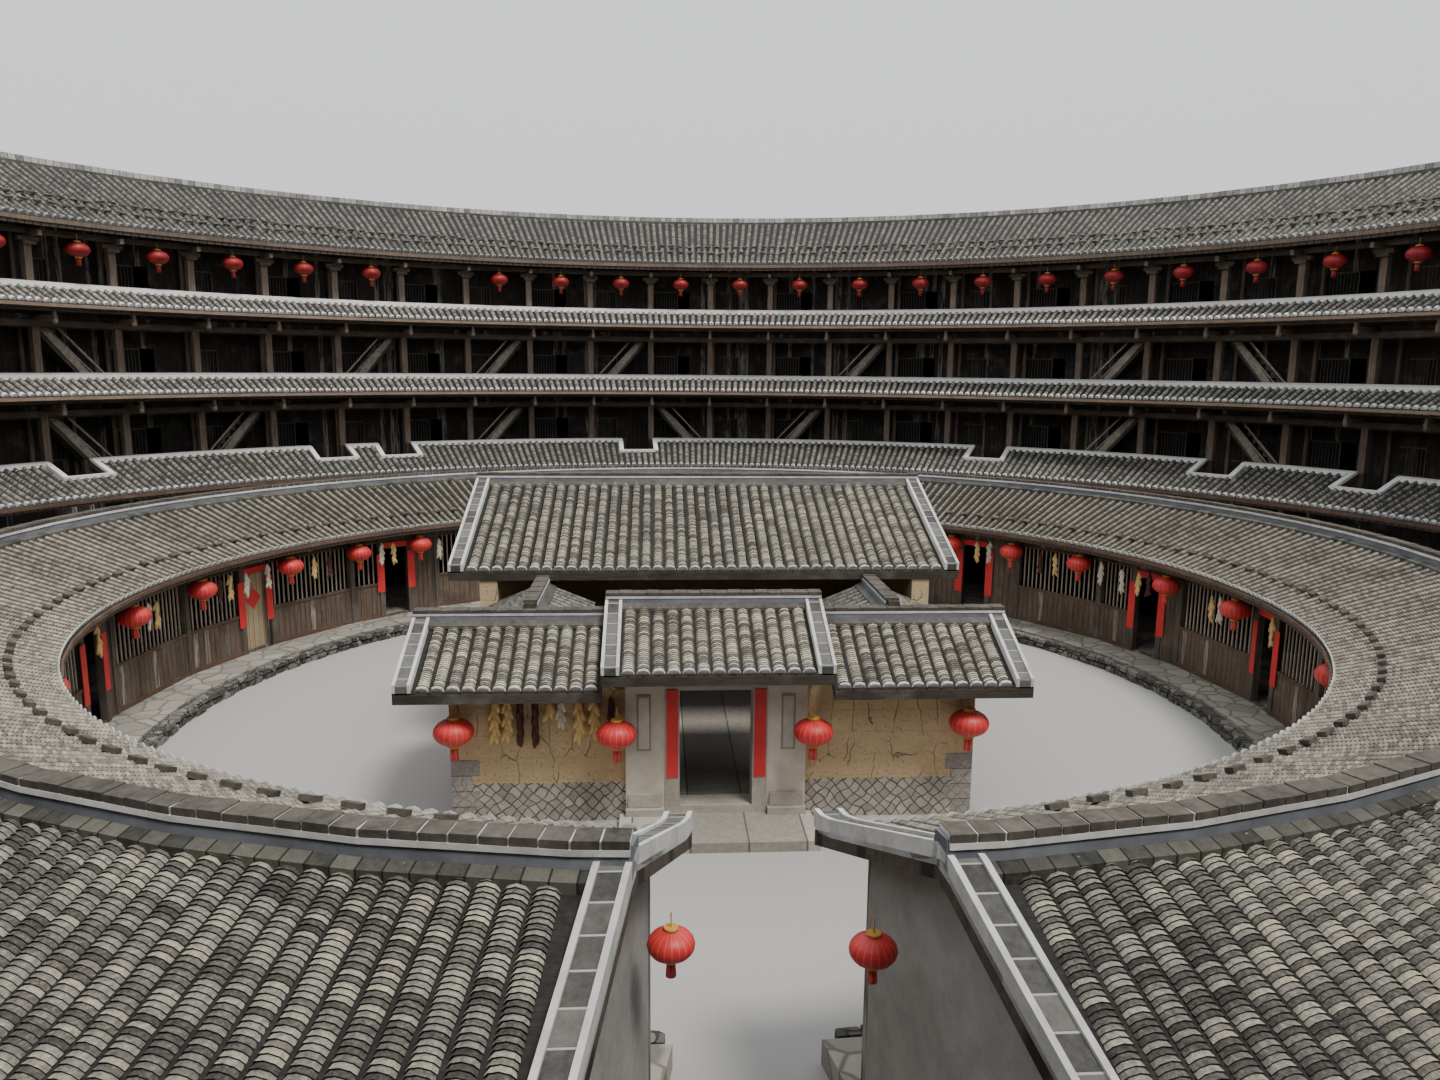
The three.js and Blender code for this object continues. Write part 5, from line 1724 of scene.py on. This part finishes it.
# Small windows high in the outer wall: plank frames, bars, and shutters inside.
earthWall = {"foot": 33.0, "top": 32.55, "height": 13.75}
wallWindow = {
    "halfWidth": 0.26, "height": 0.85, "sill": 0.95, "bars": (-0.13, 0.0, 0.13), "barHalf": 0.018,
    "barLayer": (0.1, 0.14),
    "frame": {"head": (-0.03, 0.25, 0.08), "sill": (-0.04, 0.25, 0.08), "jamb": (-0.03, 0.25, 0.07)},
}
shutter = {"past": 0.05, "layer": (-31.36, -31.32), "open": (0, 7, 21), "slide": 0.64}


def wallFace(z):
    radius = earthWall["foot"] - (earthWall["foot"] - earthWall["top"]) * z / earthWall["height"]
    return radius * math.cos(math.radians(bayAngle / 2))


def addWallWindows():
    half, barHalf, past = wallWindow["halfWidth"], wallWindow["barHalf"], shutter["past"]
    near, far = wallWindow["barLayer"]
    for storey in (3, 4):
        low = storeys[storey] + wallWindow["sill"]
        high = low + wallWindow["height"]
        face = -wallFace((low + high) / 2)
        frame = frameParts(half, low, high, face, wallWindow["frame"])
        for x in wallWindow["bars"]:
            frame.append(boxPart(x - barHalf, x + barHalf, face + near, face + far, low, high))
        settings = aroundRing(innerBayCount)
        repeatPiece(f"wallWindowFrames{storey}", merge(frame), "barWood", settings)
        leaf = boxPart(-half - past, half + past, *shutter["layer"], low - past, high + past)
        shutters = []
        for room in range(innerBayCount):
            slide = shutter["slide"] if room in shutter["open"] else 0.0
            shutters.append(turned(leaf, room * innerBayAngle, (slide, 0, 0)))
        makePiece(f"wallShutters{storey}", shutters, "timber")


addWallWindows()
print("outer wall fitted")

# The starts of the names of the solids with each look; the first look that fits holds.
nodeFinishes = {
    "mainRidge": "main_ridge",
    "ridgePlaster": "inner_ridge",
    "rubble": "stone_footing",
    "paving": "inner_terrace",
    "stoneSlabs": "hall_base",
    "dressedGranite": ("gate_surround", "hall_gate_frame"),
    "gatePlaster": "hall_gate_wall",
    "innerPlanks": "inner_front",
    "backWall": "inner_back_wall",
    "leafWood": "inner_door_leaf",
    "roomPlanks": ("ground_front", "room_front"),
    "earth": ("outer_wall", "wall_around"),
    "greyWall": "passage_wall",
    "timber": "gallery_frame",
    "floorBoards": "gallery_floor",
    "stairWood": "stair_flight",
    "ringSlab": ("main_roof", "inner_roof", "lean_to_roof", "lower_skirt", "upper_skirt"),
    "hallSlab": ("hall_gate_roof", "hall_main_roof", "hall_wing_roof"),
    "sideSlab": "hall_side_roof",
    "hallEarth": "hall_",
}


def dressNodes():
    for name, node in frame["nodes"].items():
        finish = next(look for look, starts in nodeFinishes.items() if name.startswith(starts))
        node.data.materials.clear()
        node.data.materials.append(finishes[finish])


dressNodes()
print("solids dressed")


def addFloor():
    size = daylight["floorSize"]
    mesh = bpy.data.meshes.new("paleFloor")
    corners = [(-size, -size, 0), (size, -size, 0), (size, size, 0), (-size, size, 0)]
    mesh.from_pydata(corners, [], [(0, 1, 2, 3)])
    floor = bpy.data.objects.new("paleFloor", mesh)
    bpy.context.scene.collection.objects.link(floor)
    material = bpy.data.materials.new("paleFloor")
    material.use_nodes = True
    shader = material.node_tree.nodes["Principled BSDF"]
    shader.inputs["Base Color"].default_value = (*daylight["floorColor"], 1)
    shader.inputs["Roughness"].default_value = daylight["floorRoughness"]
    mesh.materials.append(material)


addFloor()
